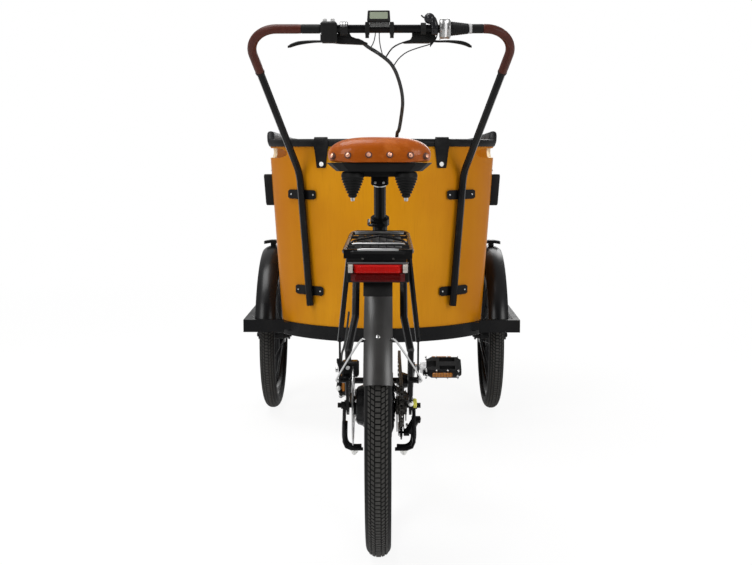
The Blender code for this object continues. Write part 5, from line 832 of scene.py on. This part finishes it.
def hide_ring(share, inset=0):
    """The leather's section: a padded arch with full shoulders, tucked under along its lower edge."""
    half = half_width(share) - inset
    rise = 58.5 - 24 * max(0, 1 - share / 0.12) ** 2 - 6 * share - inset
    points = []
    for i in range(33):
        angle = pi * (i / 32)
        out = copysign(abs(cos(angle)) ** 0.62, cos(angle))
        swell = 1 - 0.05 * max(0, 1 - abs(sin(angle)) * 4)
        points.append(saddle_point(half * out * swell, share, 44.5 + rise * sin(angle) ** 0.72))
    return points + [saddle_point(half * 0.93 * (i / 4 - 1), share, 45.2) for i in range(1, 8)]


rings = [hide_ring(0.0, 10), hide_ring(0.006, 3)]
rings += [hide_ring(share) for share in (0.02, 0.04, 0.07, 0.11, *(0.16 + 0.81 * i / 22 for i in range(22)))]
rings += [hide_ring(0.99, 3), hide_ring(0.997, 10)]
tan_leather = finish("tan_leather", tan_hide, Specular_IOR_Level=0.08, Coat_Weight=0.20, Coat_Roughness=0.12)
hide = piece("saddle_hide", tan_leather, "saddle", [rings], replaces=("saddle_leather",), sharp=70)
rounded = hide.modifiers.new("rounded", "SUBSURF")
rounded.levels = rounded.render_levels = 1

copper = finish("copper", lambda place: {
    "Base Color": place.noise(500, 4).between((0.62, 0.25, 0.15), (0.86, 0.50, 0.36)),
    "Roughness": 0.22 + place.noise(300) * 0.2,
    "Relief": (place.cells(420), 0.0006)}, Metallic=1.0)
# Each rivet sits in a dark brown ring that stands for the shade in the recess round it: painted shade.
painted_recess_shade = mottled("painted_recess_shade", (0.050, 0.012, 0.004), (0.090, 0.024, 0.008), (300,), (0.5, 0.2, 200))
rivets, rivet_shade_rings = [], []
for x in (23.5, 70.5, 106.5):
    out_share = x / WIDEST
    share = 0.18 * (1 - sqrt(min(1.0, (1 - out_share ** 2) / 0.72)))
    for side in (-1, 1):
        out = Vector((side * out_share ** 3, out_share ** 4 - 1.05, 0.20)).normalized()
        spot = saddle_point(side * x, share, 62.5 - 4 * out_share ** 2) - out * 0.0012
        rivets.append(knob([(-4, 4.4), (3, 5), (4.2, 4.2), (5.2, 2.2), (5.5, 0)], spot, out, 20))
        rivet_shade_rings.append(knob([(-4, 8), (1.4, 7.8), (2.2, 6.6)], spot, out, 24))
piece("saddle_rivets", copper, "saddle", rivets)
piece("saddle_rivet_shade_rings", painted_recess_shade, "saddle", rivet_shade_rings)

bellows = [(8, 6.2), (10.5, 9.2)]
for i in range(7):
    along, radius = 12 + 6 * i, 10 + 15.2 * (i / 6) ** 0.85
    bellows += [(along + step, radius + rise) for step, rise in ((0, 0), (1.8, 0.6), (4.2, -0.8), (5.6, 0))]
bellows += [(55, 26.2), (60, 25.8), (66, 23.5), (67.6, 20)]
post_way = Vector((0, -0.3090, 0.9511))
spring_share = 0.145
casings = [prism(saddle_point(0, spring_share, 0), "X", rect(-8, 8, 12, 27), (-70, -30, 30, 70))]
# The bright ring round the post just under the saddle is a painted highlight on the black post's head; the
# spring ends and the two clamp bolts are bright metal.
tips_and_glint = [knob([(0, 15.2), (0.4, 15.8), (2.6, 15.8), (3, 15.2)], POST_TOP - post_way * 0.0135, post_way, 28)]
for side in (-1, 1):
    foot = saddle_point(side * 61, spring_share, -43.7)
    casings.append(knob(bellows, foot, (0, 0, 1), 40))
    tips_and_glint.append(knob([(0, 3), (1.5, 4.6), (7.8, 4.8), (8.5, 6.2)], foot, (0, 0, 1), 20))
    tips_and_glint.append(knob([(0, 3), (4, 3), (5, 2)], saddle_point(side * 9.5, 0.2, -1.6), (0, -1, 0), 16))
piece("saddle_springs_shown", plastic, "saddle", casings,
      replaces=("saddle_spring_left", "saddle_spring_right"))
piece("saddle_bright_tips_and_painted_glint", bright, "saddle", tips_and_glint)


# The cargo box: one sheet of bent plywood round the back and one round the front, varnished a warm
# golden brown, on a floor of the same board. Its cut edges show the pale plies, its upper edge is
# closed by a rubber rim, and straps with white-capped screws hold the rim at the back.
BOX_FOOT = 356
BOX_HEIGHT = 559
BACK_RADIUS = 400
THICK = 12
HOLD_START, HOLD_END = 0.77, 2.2
HOLD_FOOT = 878.5
HOLD_BELOW_RIM = 5.5


def varnished(place):
    figure = (place * (26, 26, 1.6)).noise(1, 6)
    fine = (place * (420, 420, 10)).noise(1, 3)
    cloud = place.noise(3.2, 3)
    wood = figure.rising(0.3, 0.75).between((0.53, 0.220, 0.004), (0.60, 0.262, 0.006))
    wood = cloud.rising(0.35, 0.7).between(wood, (0.48, 0.175, 0.003))
    # The box is painted darker towards its left and right sides than in its middle: painted shade, with a
    # little random cloudy tone mixed in.
    painted_shade = place.across(0).work("ABSOLUTE").rising(0.18, 0.34) * 0.70 + place.noise(2.2, 2, 0.4, 0.7) * 0.2
    wood = painted_shade.between(wood, (0.38, 0.110, 0.0015))
    return {
        "Base Color": fine.rising(0.55, 0.9).between(wood, (0.44, 0.160, 0.003)),
        "Roughness": 0.26 + fine * 0.10 + cloud * 0.10,
        "Relief": (fine, 0.00010),
    }


def plies(place):
    layers = (place * (1400, 1400, 300)).noise(1, 1)
    return {"Base Color": layers.between((0.50, 0.34, 0.18), (0.82, 0.70, 0.50)),
            "Roughness": 0.55 + layers * 0.2, "Relief": (layers, 0.0002)}


def back_middle(z):
    """How far forward the middle of the back's bend lies; the back leans out as it rises."""
    return 117 - 22 * (z - BOX_FOOT) / BOX_HEIGHT + BACK_RADIUS


def back_point(x, z, out):
    """A point on the bowed back of the box, out from its face."""
    return at(x, back_middle(z) - sqrt((BACK_RADIUS + out) ** 2 - x ** 2), z)


def wall(u, z, inset):
    """A point on the box's wall: u counts round from the middle of the back, 1 to 2 is the rear corner,
    2 to 3 the side, 3 to 4 the front corner and 5 the middle of the front; it is negative on the left."""
    side, u = (-1, -u) if u < 0 else (1, u)
    if 2 < u < 3:
        point = wall(2, z, inset).lerp(wall(3, z, inset), u - 2)
        point.x *= side
        return point
    width = 323 + 41 * (z - BOX_FOOT) / BOX_HEIGHT
    big, corner, middle, way, share = BACK_RADIUS, 70, back_middle(z), -1, u
    if u > 2:
        big, corner, middle, way, share = 550, 100, 515 - 120 * (945 - z) / 589, 1, 5 - u
    turn = asin((width - corner) / (big - corner))
    if share <= 1:
        angle = turn * share
        return at(side * (big - inset) * sin(angle), middle + way * (big - inset) * cos(angle), z)
    angle = turn + (pi / 2 - turn) * (share - 1)
    return at(side * (width - corner + (corner - inset) * sin(angle)),
              middle + way * ((big - corner) * cos(turn) + (corner - inset) * cos(angle)), z)


def edge(u, back, corner, front):
    """A height that is back along the box's back, corner on its rear corners and front at its front."""
    rise = min(max((abs(u) - 0.95) / 1.05, 0), 1)
    fall = min(max((abs(u) - 2.0) / 2.2, 0), 1)
    return back + (corner - back) * rise * rise * (3 - 2 * rise) + (front - corner) * fall


def rim_foot(u):
    return edge(u, 914.5, 931, 917)


def hold_half(u):
    """Half the height of the hand-hold at a place round the box, 0 outside it."""
    share = (abs(u) - HOLD_START) / (HOLD_END - HOLD_START)
    if not 0 < share < 1:
        return 0.0
    end = min(share, 1 - share) / 0.10
    whole = (rim_foot(u) - HOLD_BELOW_RIM - HOLD_FOOT) / 2
    return whole * sqrt(1 - (1 - end) ** 2) if end < 1 else whole


def sheet(name, marks, node):
    """A bent sheet with its hand-holds left open and its cut edges in the pale finish of the plies."""
    mesh = bmesh.new()
    columns = []
    for u in marks:
        middle, half = (rim_foot(u) - HOLD_BELOW_RIM + HOLD_FOOT) / 2, hold_half(u)
        heights = [BOX_FOOT + (middle - half - BOX_FOOT) * k / 8 for k in range(9)]
        heights += [middle + half + (rim_foot(u) + 8 - middle - half) * k / 2 for k in range(3)]
        columns.append([[mesh.verts.new(wall(u, z, inset)) for z in heights] for inset in (0, THICK)])
    cut = []
    for i, ((a_out, a_in), (b_out, b_in)) in enumerate(zip(columns, columns[1:])):
        for k in (*range(8), 9, 10):
            mesh.faces.new((a_out[k], b_out[k], b_out[k + 1], a_out[k + 1]))
            mesh.faces.new((b_in[k], a_in[k], a_in[k + 1], b_in[k + 1]))
        for k in (0, 8, 9, 11) if hold_half(marks[i]) or hold_half(marks[i + 1]) else (0, 11):
            cut.append(mesh.faces.new((a_out[k], b_out[k], b_in[k], a_in[k])))
    for out, back in (columns[0], columns[-1]):
        cut += [mesh.faces.new((out[k], out[k + 1], back[k + 1], back[k])) for k in range(11) if k != 8]
    for face in cut:
        face.material_index = 1
    bmesh.ops.remove_doubles(mesh, verts=mesh.verts, dist=0.00002)
    piece(name, varnish, "front", mesh=mesh, replaces=(node,), sharp=40).data.materials.append(ply_edge)


varnish = finish("varnish", varnished, Specular_IOR_Level=0.07, Coat_Weight=0.05, Coat_Roughness=0.15)
ply_edge = finish("ply_edge", plies)
marks = {round(5.098 * i / 71 - 2.549, 5) for i in range(72)}
for i in range(9):
    closer = 0.15 * (i / 8) ** 2
    marks |= {round(side * end, 5) for side in (-1, 1) for end in (HOLD_START + closer, HOLD_END - closer)}
sheet("box_back_sheet", sorted(marks), "box_rear_panel")
marks = [2.552 + 4.896 * i / 70 for i in range(71)]
sheet("box_front_sheet", [u if u <= 5 else u - 10 for u in marks], "box_front_panel")
dress(varnish, "box_floor", "bench")

rim_rubber = mottled("rim_rubber", (0.005, 0.005, 0.0055), 0.012, (30, 5, 0.45, 0.8), (0.42, 0.16),
                     (0.00008, 700, 2), Specular_IOR_Level=0.12)
section = ((-5, 0), (-6.8, 0.20), (-6.6, 0.55), (-5, 0.82), (-1, 0.96), (6, 1), (13, 0.96), (17.2, 0.82),
           (19, 0.55), (19, 0.20), (17.2, 0), (12.2, 0), (12.2, 0.36), (-0.2, 0.36), (-0.2, 0))
rim = []
for i in range(180):
    u = i / 18 - 5
    foot, top = rim_foot(u), edge(u, 938, 964.5, 942)
    rim.append([wall(u, foot + (top - foot) * share, inset) for inset, share in section])
strap = ((849, 12, 0.6, 2.2), (849.5, 14, 0.4, 3.4), (856, 15.2, 0.4, 4.2), (885, 18.5, 0.4, 4.2),
         (906, 21.2, 0.4, 4.4), (912, 22.4, 0.4, 9.2), (918, 22.8, 0.6, 10), (931, 22.6, 0.2, 9.6),
         (940, 21.5, -2, 7), (943.5, 20.5, -8, 1))
straps = []
for middle in (-185, 185):
    rings = []
    for z, half, inner, outer in strap:
        over = [back_point(middle + half * (k / 3 - 1), z, outer - (0 if 0 < k < 6 else 1.2))
                for k in range(7)]
        rings.append(over + [back_point(middle + out, z, inner) for out in (half, -half)])
    straps.append(rings)
piece("rim_shown", rim_rubber, "front", straps, [rim], replaces=("box_rim",), sharp=45)


def screw(size, spot, way, sides):
    """A pan head with a cross recess, drawn as a shallow dish."""
    return knob([(-1, size), (0.6, size), (1.6, size * 0.86), (2, size * 0.5), (1.3, size * 0.3), (1.2, 0)],
                spot, way, sides)


heads, small_heads = [], []
for side in (-1, 1):
    heads.append(screw(7.2, back_point(side * 184, 861, 4.8), (side * 0.45, -0.9, 0), 20))
    small_heads.append(screw(3.6, at(side * 361, 360, 838), (side, 0, 0.07), 14))
    small_heads += [screw(3, wall(side * 2.55, 400 + 92 * k, -2.4) + at(0, y, 0), (side, 0, 0.07), 12)
                    for k in range(6) for y in (-10, 10)]
    small_heads += [screw(3, back_point(side * (x + reach), z, 5.4), (side * 0.6, -0.8, 0), 12)
                    for z, x in ((466, 226.5), (766, 247.5)) for reach in (-36, 36)]
piece("strap_screws", white_cap, "front", heads)
piece("small_screws", bright, "front", small_heads)


# Black steel strips cover the two seams, and a socket of black plastic on each side takes a pole of
# the rain canopy.
POLE_Y = 360
BORE_X, BORE_RADIUS = 14, 8.5
for word, side in (("left", -1), ("right", 1)):
    outline = [(side * x, y) for x, y in ((0, -16), (1.4, -16), (2.4, -14), (2.4, 14), (1.4, 16), (0, 16))]
    strip = [flat(wall(side * 2.55, z, -0.2), "Z", outline) for z in (358, 600, 750, 922)]
    piece(f"joint_strip_{word}", black_coat, "front", [strip], replaces=(f"box_joint_{word}",))
    outers, holes = [], []
    for z, grown in ((723.5, -1.2), (725, 0), (730, 1.2), (818, 1.2), (823, 0), (824.5, -1.2)):
        face = wall(side * 2.2, z, 0)
        face.y = POLE_Y / 1000
        outers.append([face + at(side * (x + (grown if x else 0)), y * (1 + grown * 0.06), 0) for x, y in (
            (0, -16.5), (20, -16), (25, -14), (27.5, -9.5), (27.5, 9.5), (25, 14), (20, 16), (0, 16.5))])
        holes.append([face + at(side * (BORE_X + BORE_RADIUS * cos(turn)), BORE_RADIUS * sin(turn), 0)
                      for turn in (tau * k / 16 for k in range(16))])
    mesh = bmesh.new()
    for rings in (outers, holes):
        skin(mesh, rings, ends=False)
    for end in (0, -1):
        edges = []
        for loop in (outers[end], holes[end]):
            found = [mesh.verts.new(point) for point in loop]
            edges += [mesh.edges.new(pair) for pair in zip(found, found[1:] + found[:1])]
        bmesh.ops.triangle_fill(mesh, edges=edges, use_beauty=True)
    bmesh.ops.remove_doubles(mesh, verts=mesh.verts, dist=0.00001)
    piece(f"pole_socket_{word}", plastic, "front", mesh=mesh, replaces=(f"pole_holder_{word}",), sharp=40)


# Under the box a steel band, bent to the same outline and welded to the chassis, carries the floor's
# edge all round.
section = ((0.5, 311.5), (-1.5, 313), (-1.5, 353.5), (0.5, 354.8), (4, 354.8), (4, 311.5))
piece("floor_band", black_coat, "front", sharp=40, loops=[[
    [wall(i / 14.4 - 5, 357, inset) + at(0, 0, z - 357) for inset, z in section] for i in range(144)]])


# The handlebar: a steel tube bent from both sides of the box's back up and across, wrapped with brown
# leather on its bends and sleeved in black beside the controls.
def bend_round(corners, radius, steps):
    """A route through corners, each rounded with an arc."""
    route = [corners[0]]
    for before, corner, after in zip(corners, corners[1:], corners[2:]):
        back, on = (before - corner).normalized(), (after - corner).normalized()
        half = back.angle(on) / 2
        centre = corner + (back + on).normalized() * (radius / 1000 / sin(half))
        start, end = (corner + way * (radius / 1000 / tan(half)) - centre for way in (back, on))
        axis = start.cross(end).normalized()
        for i in range(steps + 1):
            route.append(centre + Matrix.Rotation((pi - 2 * half) * i / steps, 3, axis) @ start)
    return route + [corners[-1]]


def brown_wrap(place):
    pores = place.cells(600)
    cloud = place.noise(30, 4)
    return {
        "Base Color": cloud.between((0.036, 0.008, 0.004), (0.080, 0.015, 0.008)),
        "Roughness": 0.34 + pores * 0.12,
        "Relief": (pores + cloud * 0.5, 0.0003),
    }


BAR = at(0, -200, 1231)
wrap = finish("wrap", brown_wrap, Specular_IOR_Level=0.2)
grip_sleeve = moulded("grip_sleeve", 0.15)
thread = mottled("thread", (0.07, 0.030, 0.015), (0.12, 0.05, 0.025), (900,), (0.7, 0.2, 400))
for word, side, inner_end in (("left", -1, 216), ("right", 1, 277.5)):
    low, knee = back_point(side * 222.4, 420, 14.8), back_point(side * 253.5, 832, 14.8)
    route = bend_round([low, knee, BAR + at(side * 373, 0, 0), BAR], 72, 16)
    arc = route[18:35]
    arm = (arc[0] - route[17]).normalized()
    inner = BAR + at(side * inner_end, 0, 0)
    cover = [arc[0] - arm * 0.060 * (1 - k / 4) for k in range(4)] + arc
    cover += [arc[-1].lerp(inner, k / 5) for k in range(1, 6)]
    radii = [12.2] + [12.7] * (len(cover) - 2) + [12.2]
    piece(f"wrap_{word}", wrap, "front", [swept(cover, radii, 28)], replaces=(f"grip_{word}",), sharp=50)
    stitches = []
    dense = eased(cover, 8)
    for i in range(3, len(dense) - 4, 5):
        way = (dense[i + 1] - dense[i]).normalized()
        inside = (way.cross(Vector((0, 0.45, 0.9)))).normalized()
        under = way.cross(inside).normalized() * 0.0126
        under = -under if under.z > 0 else under
        start, end = dense[i] + under, dense[i + 3] + under
        stitches.append(swept([start, (start + end) / 2 + under * 0.05, end], 0.5, 5))
    piece(f"wrap_stitches_{word}", thread, "front", stitches)
    collar = [arc[0] - arm * below for below in (0.0665, 0.0655, 0.0608, 0.0598)]
    piece(f"wrap_collar_{word}", grip_sleeve, "front", [swept(collar, [11.4, 12.8, 13.4, 12.6], 24)])


def on_bar(profile, sides=28):
    """Rings of a piece turned on the crossbar, from (x, radius) pairs."""
    return knob(profile, BAR, (1, 0, 0), sides)


def sleeve(low, high, radius):
    return on_bar([(low, radius - 1.2), (low + 1.2, radius), (high - 1.2, radius), (high, radius - 1.2)])


piece("bar_sleeves", grip_sleeve, "front", [sleeve(-215.5, -164, 12.4), sleeve(238.5, 277, 12.4)])
pale_ring = mottled("pale_ring", 0.30, 0.45, (200,), (0.35, 0.2, 100))
piece("bar_pale_ring", pale_ring, "front", [sleeve(238.3, 246.5, 13.4)])


# The controls: moulded bodies and alloy levers clamped on the crossbar, a small screen, a ball bell
# and a twist gear changer with a bright window ring.
dark_control = moulded("dark_control", 0.15)
dress(dark_control, "brake_body_left", "brake_body_right", "switch_pod", "bell_striker")
button_grey = mottled("button_grey", 0.34, 0.50, (300,), (0.4, 0.15, 200))
for word, x in (("minus", -151), ("plus", -130)):
    piece(f"cap_{word}", button_grey, f"button_{word}", [
        knob([(-3, 5), (4, 5.6), (7.2, 5.4), (8.4, 4.2), (8.8, 0)], BAR + at(x, -6, 18), (0, 0, 1), 20)],
        replaces=(f"button_{word}",))
ribs = [(189.5, 12.6), (189.5, 19.2)]
for i in range(9):
    x, radius = 192.5 + 4.8 * i, 18.6 - 4.5 * i / 8
    ribs += [(x, radius), (x + 1.2, radius + 0.4), (x + 3, radius + 0.2), (x + 3.8, radius - 0.9)]
piece("twist_sleeve", grip_sleeve, "twist_shifter", [on_bar(ribs + [(236.8, 14), (237, 12.6)], 40)],
      replaces=("twist_shifter",))
silver = machined("silver", 0.24, (0.44, 0.44, 0.43), 0.20, 0.16, 0.8)
window = mottled("window", 0.70, 0.85, (90,), (0.15, 0.1, 50), Coat_Weight=0.8)
piece("changer_ring", silver, "front", [on_bar([
    (158.8, 12.2), (158.8, 23.5), (160.5, 26.2), (163.5, 27), (170, 27), (171.5, 26.2), (178, 26.2),
    (179.5, 27), (185, 27), (187.2, 25.8), (188.3, 23.6), (188.3, 12.2)], 48)], replaces=("shifter_housing",))
piece("changer_window", window, "front", [turned(rect(171.8, 177.7, 25.5, 26.6), BAR, 8, 180 + 62, -110)])
piece("left_ring", grip_sleeve, "front", [
    on_bar([(-110.2, 11.4), (-110.2, 17.5), (-109, 18.5), (-90, 18.5), (-89, 17.5), (-89, 11.4)], 40)])
piece("left_ring_caps", silver, "front", [
    turned(rect(low, high, 17, 19.6), BAR, 8, 180 - 12, -112)
    for low, high in ((-108.5, -104), (-102.5, -95.5), (-94, -90.5))])


def clamp(low, high, radius, cut):
    """A clamp round the crossbar, its outer edges cut back."""
    shoulder = radius - cut * 2 / 3
    return on_bar([(low, 11.4), (low, shoulder), (low + cut, radius), (high - cut, radius), (high, shoulder),
                   (high, 11.4)])


def screen_face(place):
    grid = (place.across(0) * 4200).wave() * (place.across(2) * 4200).wave()
    return {"Base Color": (grid * 0.5 + 0.5).between((0.20, 0.23, 0.17), (0.26, 0.29, 0.22)),
            "Roughness": 0.12 + place.noise(60) * 0.06}


def case_outline(half_x, half_z, y, narrow=0.0):
    """An outline in the screen's case, y towards the rider from its middle, narrower at its top."""
    tilt = Matrix.Rotation(radians(-20), 3, "X")
    corners = ((-half_x, -half_z), (half_x, -half_z), (half_x - narrow, half_z), (narrow - half_x, half_z))
    return edge_round([BAR + at(-5.5, -12, 31.2) + tilt @ at(x, -y, z) for x, z in corners], 3)


screen = finish("screen", screen_face, Specular_IOR_Level=0.3, Coat_Weight=0.3)
case = [[case_outline(half_x, half_z, y, 1.8) for half_x, half_z, y in (
    (29, 13.5, -7.5), (31.2, 15.5, -5.5), (31.4, 15.7, 5), (30, 14.3, 6.8))]]
for x in (-42.5, 24):
    case.append(clamp(x, x + 12, 16, 1.2))
    case.append(prism(BAR + at(x, 0, 0), "Z", rect(1, 11, -19, -6), (-25.5, -24, 10, 16.5)))
piece("screen_case", dark_control, "front", case, replaces=("display",))
piece("screen_glass", screen, "front", [[case_outline(24.2, 10, y) for y in (6, 7.3)]])
piece("screen_bracket", silver, "front", [
    prism(BAR, "X", ((-16, 3), (-13.5, 14.5), (6, 15), (6, 11.8)), (-30, -29, 22.5, 23.5))])
lens_glass = mottled("lens_glass", (0.010, 0.010, 0.012), (0.020, 0.020, 0.022), (40,), (0.10, 0.08, 60),
                     Specular_IOR_Level=0.2)
ball = [(-15 * cos(pi * i / 16), 15 * sin(pi * i / 16)) for i in range(17)]
piece("bell_ball", lens_glass, "front", [
    knob(ball, BAR + at(131.8, -4, 27), (0, -1, 0.25), 32),
    knob([(-12, 10), (4, 10.8), (15, 10.4), (24, 8), (27, 4)], BAR + at(144.8, -6, 6), (-0.22, 0, 1), 24),
    clamp(137.5, 153.5, 17.5, 1.5)], replaces=("bell",))


# Each brake's perch is cast in one with its clamp, coated black, and runs inwards to a tapered boot
# over the cable's end.
for word, side, shape in (
    ("right", 1, ((56.5, 1196.5), (80, 1203.5), (85, 1212), (85, 1229), (126, 1229), (146, 1223), (150, 1208),
                  (144, 1196), (134, 1184), (135, 1196), (106, 1195), (64, 1194))),
    ("left", -1, ((35, 1194.5), (56, 1203), (80, 1212), (88, 1228), (110, 1228), (130, 1206), (138, 1196),
                  (110, 1193), (80, 1192), (50, 1190.5))),
):
    outline = edge_round([at(side * x, -178, z) for x, z in shape], 2, 3)
    piece(f"perch_{word}", dark_control, "front", [
        [[point + at(0, y, 0) for point in outline] for y in (-10.5, -8.5, 8.5, 10.5)]])


# Brake levers: forged alloy blades that leave their bodies straight, bow forward and end in a
# flattened, rounded tip for the fingers.
for word, side, pivot_x, tip_x in (("left", -1, 110, 257), ("right", 1, 126, 250)):
    pivot = at(side * pivot_x, -170, 1204)
    span = at(side * tip_x, -148, 1188) - pivot
    route = eased([pivot + span * share + at(0, ahead, above) for share, ahead, above in (
        (0, 0, 0), (0.22, 6, 1), (0.50, 11, 6.5), (0.80, 6, 7), (1, 0, 0))], 6)
    blade = []
    for i, point in enumerate(route):
        share = i / (len(route) - 1)
        high, deep = 4.4 - 1.4 * sin(pi * min(1, share / 0.6)), 5 + 2.4 * share
        if share > 0.6:
            high += 1.2 * sin(pi * (share - 0.6) / 0.4)
        if share > 0.94:
            high, deep = high * 0.72, deep * 0.72
        if i == 0:
            high, deep = 4.2, 4.8
        blade.append([point + at(0, cos(tau * k / 14) * deep, sin(tau * k / 14) * high) for k in range(14)])
    pin = knob([(-5.6, 3.6), (5.6, 3.6)], pivot, (0, 0, 1), 16)
    piece(f"lever_{word}", dark_control, f"{word}_lever", [blade, pin], replaces=(f"brake_lever_{word}",))
piece("control_screws", bright, "front", [
    knob([(-1, 2.6), (1, 2.5), (1.4, 1.4), (0.6, 1)], at(*spot), way, 12) for spot, way in (
        ((-99, -184, 1222.5), (0, -0.3, 1)), ((115, -184, 1222.5), (0, -0.3, 1)),
        ((160, -196, 1204), (0, 0, -1)), ((-160, -216.5, 1216.5), (0, -1, 0.1)))])


# Cables: a bundle in black spiral wrap from the levers down over the rim into the box, thin leads that
# join it from the screen, the right lever and the gear changer, and the rear brake's own cable.
def wrapped(place):
    turns = (place.across(2) * 700 + place.across(1) * 350 + place.across(0) * 500).wave()
    return {
        "Base Color": turns.rising(-1, 1).between(0.006, 0.022),
        "Roughness": 0.36 + turns * 0.06,
        "Relief": (turns, 0.0004),
    }


spiral = finish("spiral", wrapped, Specular_IOR_Level=0.35)
lead = moulded("lead", 0.35)
for name, radius, material, body, stiffness, replaces, spots in (
    ("cable_bundle", 5.2, spiral, "front", "medium", ("cable_harness",), (
        (-74.5, -170, 1204), (-56.5, -169, 1202), (-35, -154, 1187), (2, -138, 1165), (32, -116, 1139),
        (52, -80, 1096), (62, -35, 1046), (58, 30, 996), (52, 70, 962), (48, 105, 956), (46, 132, 925),
        (45, 141, 860), (45, 148, 700), (45, 157, 550), (45, 163, 440), (45, 165, 368.3))),
    ("screen_lead_left", 1.4, lead, "front", "medium", (), (
        (-14.5, -201, 1265), (-14.5, -180, 1249), (-15, -169, 1221), (-20, -158, 1199),
        (-29.5, -151.5, 1183.5))),
    ("screen_lead_right", 1.4, lead, "front", "medium", (), (
        (-2, -201, 1265), (-2, -180, 1249), (-4.5, -167, 1217), (-1.5, -152, 1189), (6, -135, 1161.5))),
    ("right_brake_lead", 2, lead, "front", "medium", (), (
        (91, -170, 1204), (78, -168, 1202), (52, -152, 1196), (30, -138, 1184), (11, -131.5, 1157))),
    ("changer_lead", 1.6, lead, "front", "medium", (), (
        (156, -184, 1227), (150, -164, 1207), (136, -152, 1195), (106, -138, 1187), (73, -125, 1176),
        (50, -116, 1159), (34, -113.5, 1136.5))),
    ("rear_brake_lead", 2.5, lead, "frame", "stiff", ("rear_brake_cable",), (
        (-71, -655, 530), (-75, -667, 495), (-78, -681, 470), (-81.5, -707, 453.5), (-84, -729, 448.5),
        (-85, -743, 438), (-85, -747, 425))),
):
    points = [at(*spot) for spot in spots]
    padded = [points[0] * 2 - points[1], *points, points[-1] * 2 - points[-2]]
    dense = [point for four in zip(padded, padded[1:], padded[2:], padded[3:]) for point in curved(*four, 16)]
    dense.append(points[-1])
    route = evenly(dense, max(2, round(length_of(dense) / 0.012)))
    curve = bpy.data.curves.new(name, "CURVE")
    curve.dimensions = "3D"
    curve.bevel_depth = radius / 1000
    curve.bevel_resolution = 3
    curve.use_fill_caps = True
    curve.materials.append(material)
    spline = curve.splines.new("POLY")
    spline.points.add(len(route) - 1)
    for slot, point in zip(spline.points, route):
        slot.co = (*point, 1)
    item = bpy.data.objects.new(name, curve)
    scene.collection.objects.link(item)
    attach(item, body)
    if replaces:
        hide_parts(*replaces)
    length_of(route)
    2 * radius / 1000


# The size of the finished tricycle, from the bounds of all its shown pieces.
low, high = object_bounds()
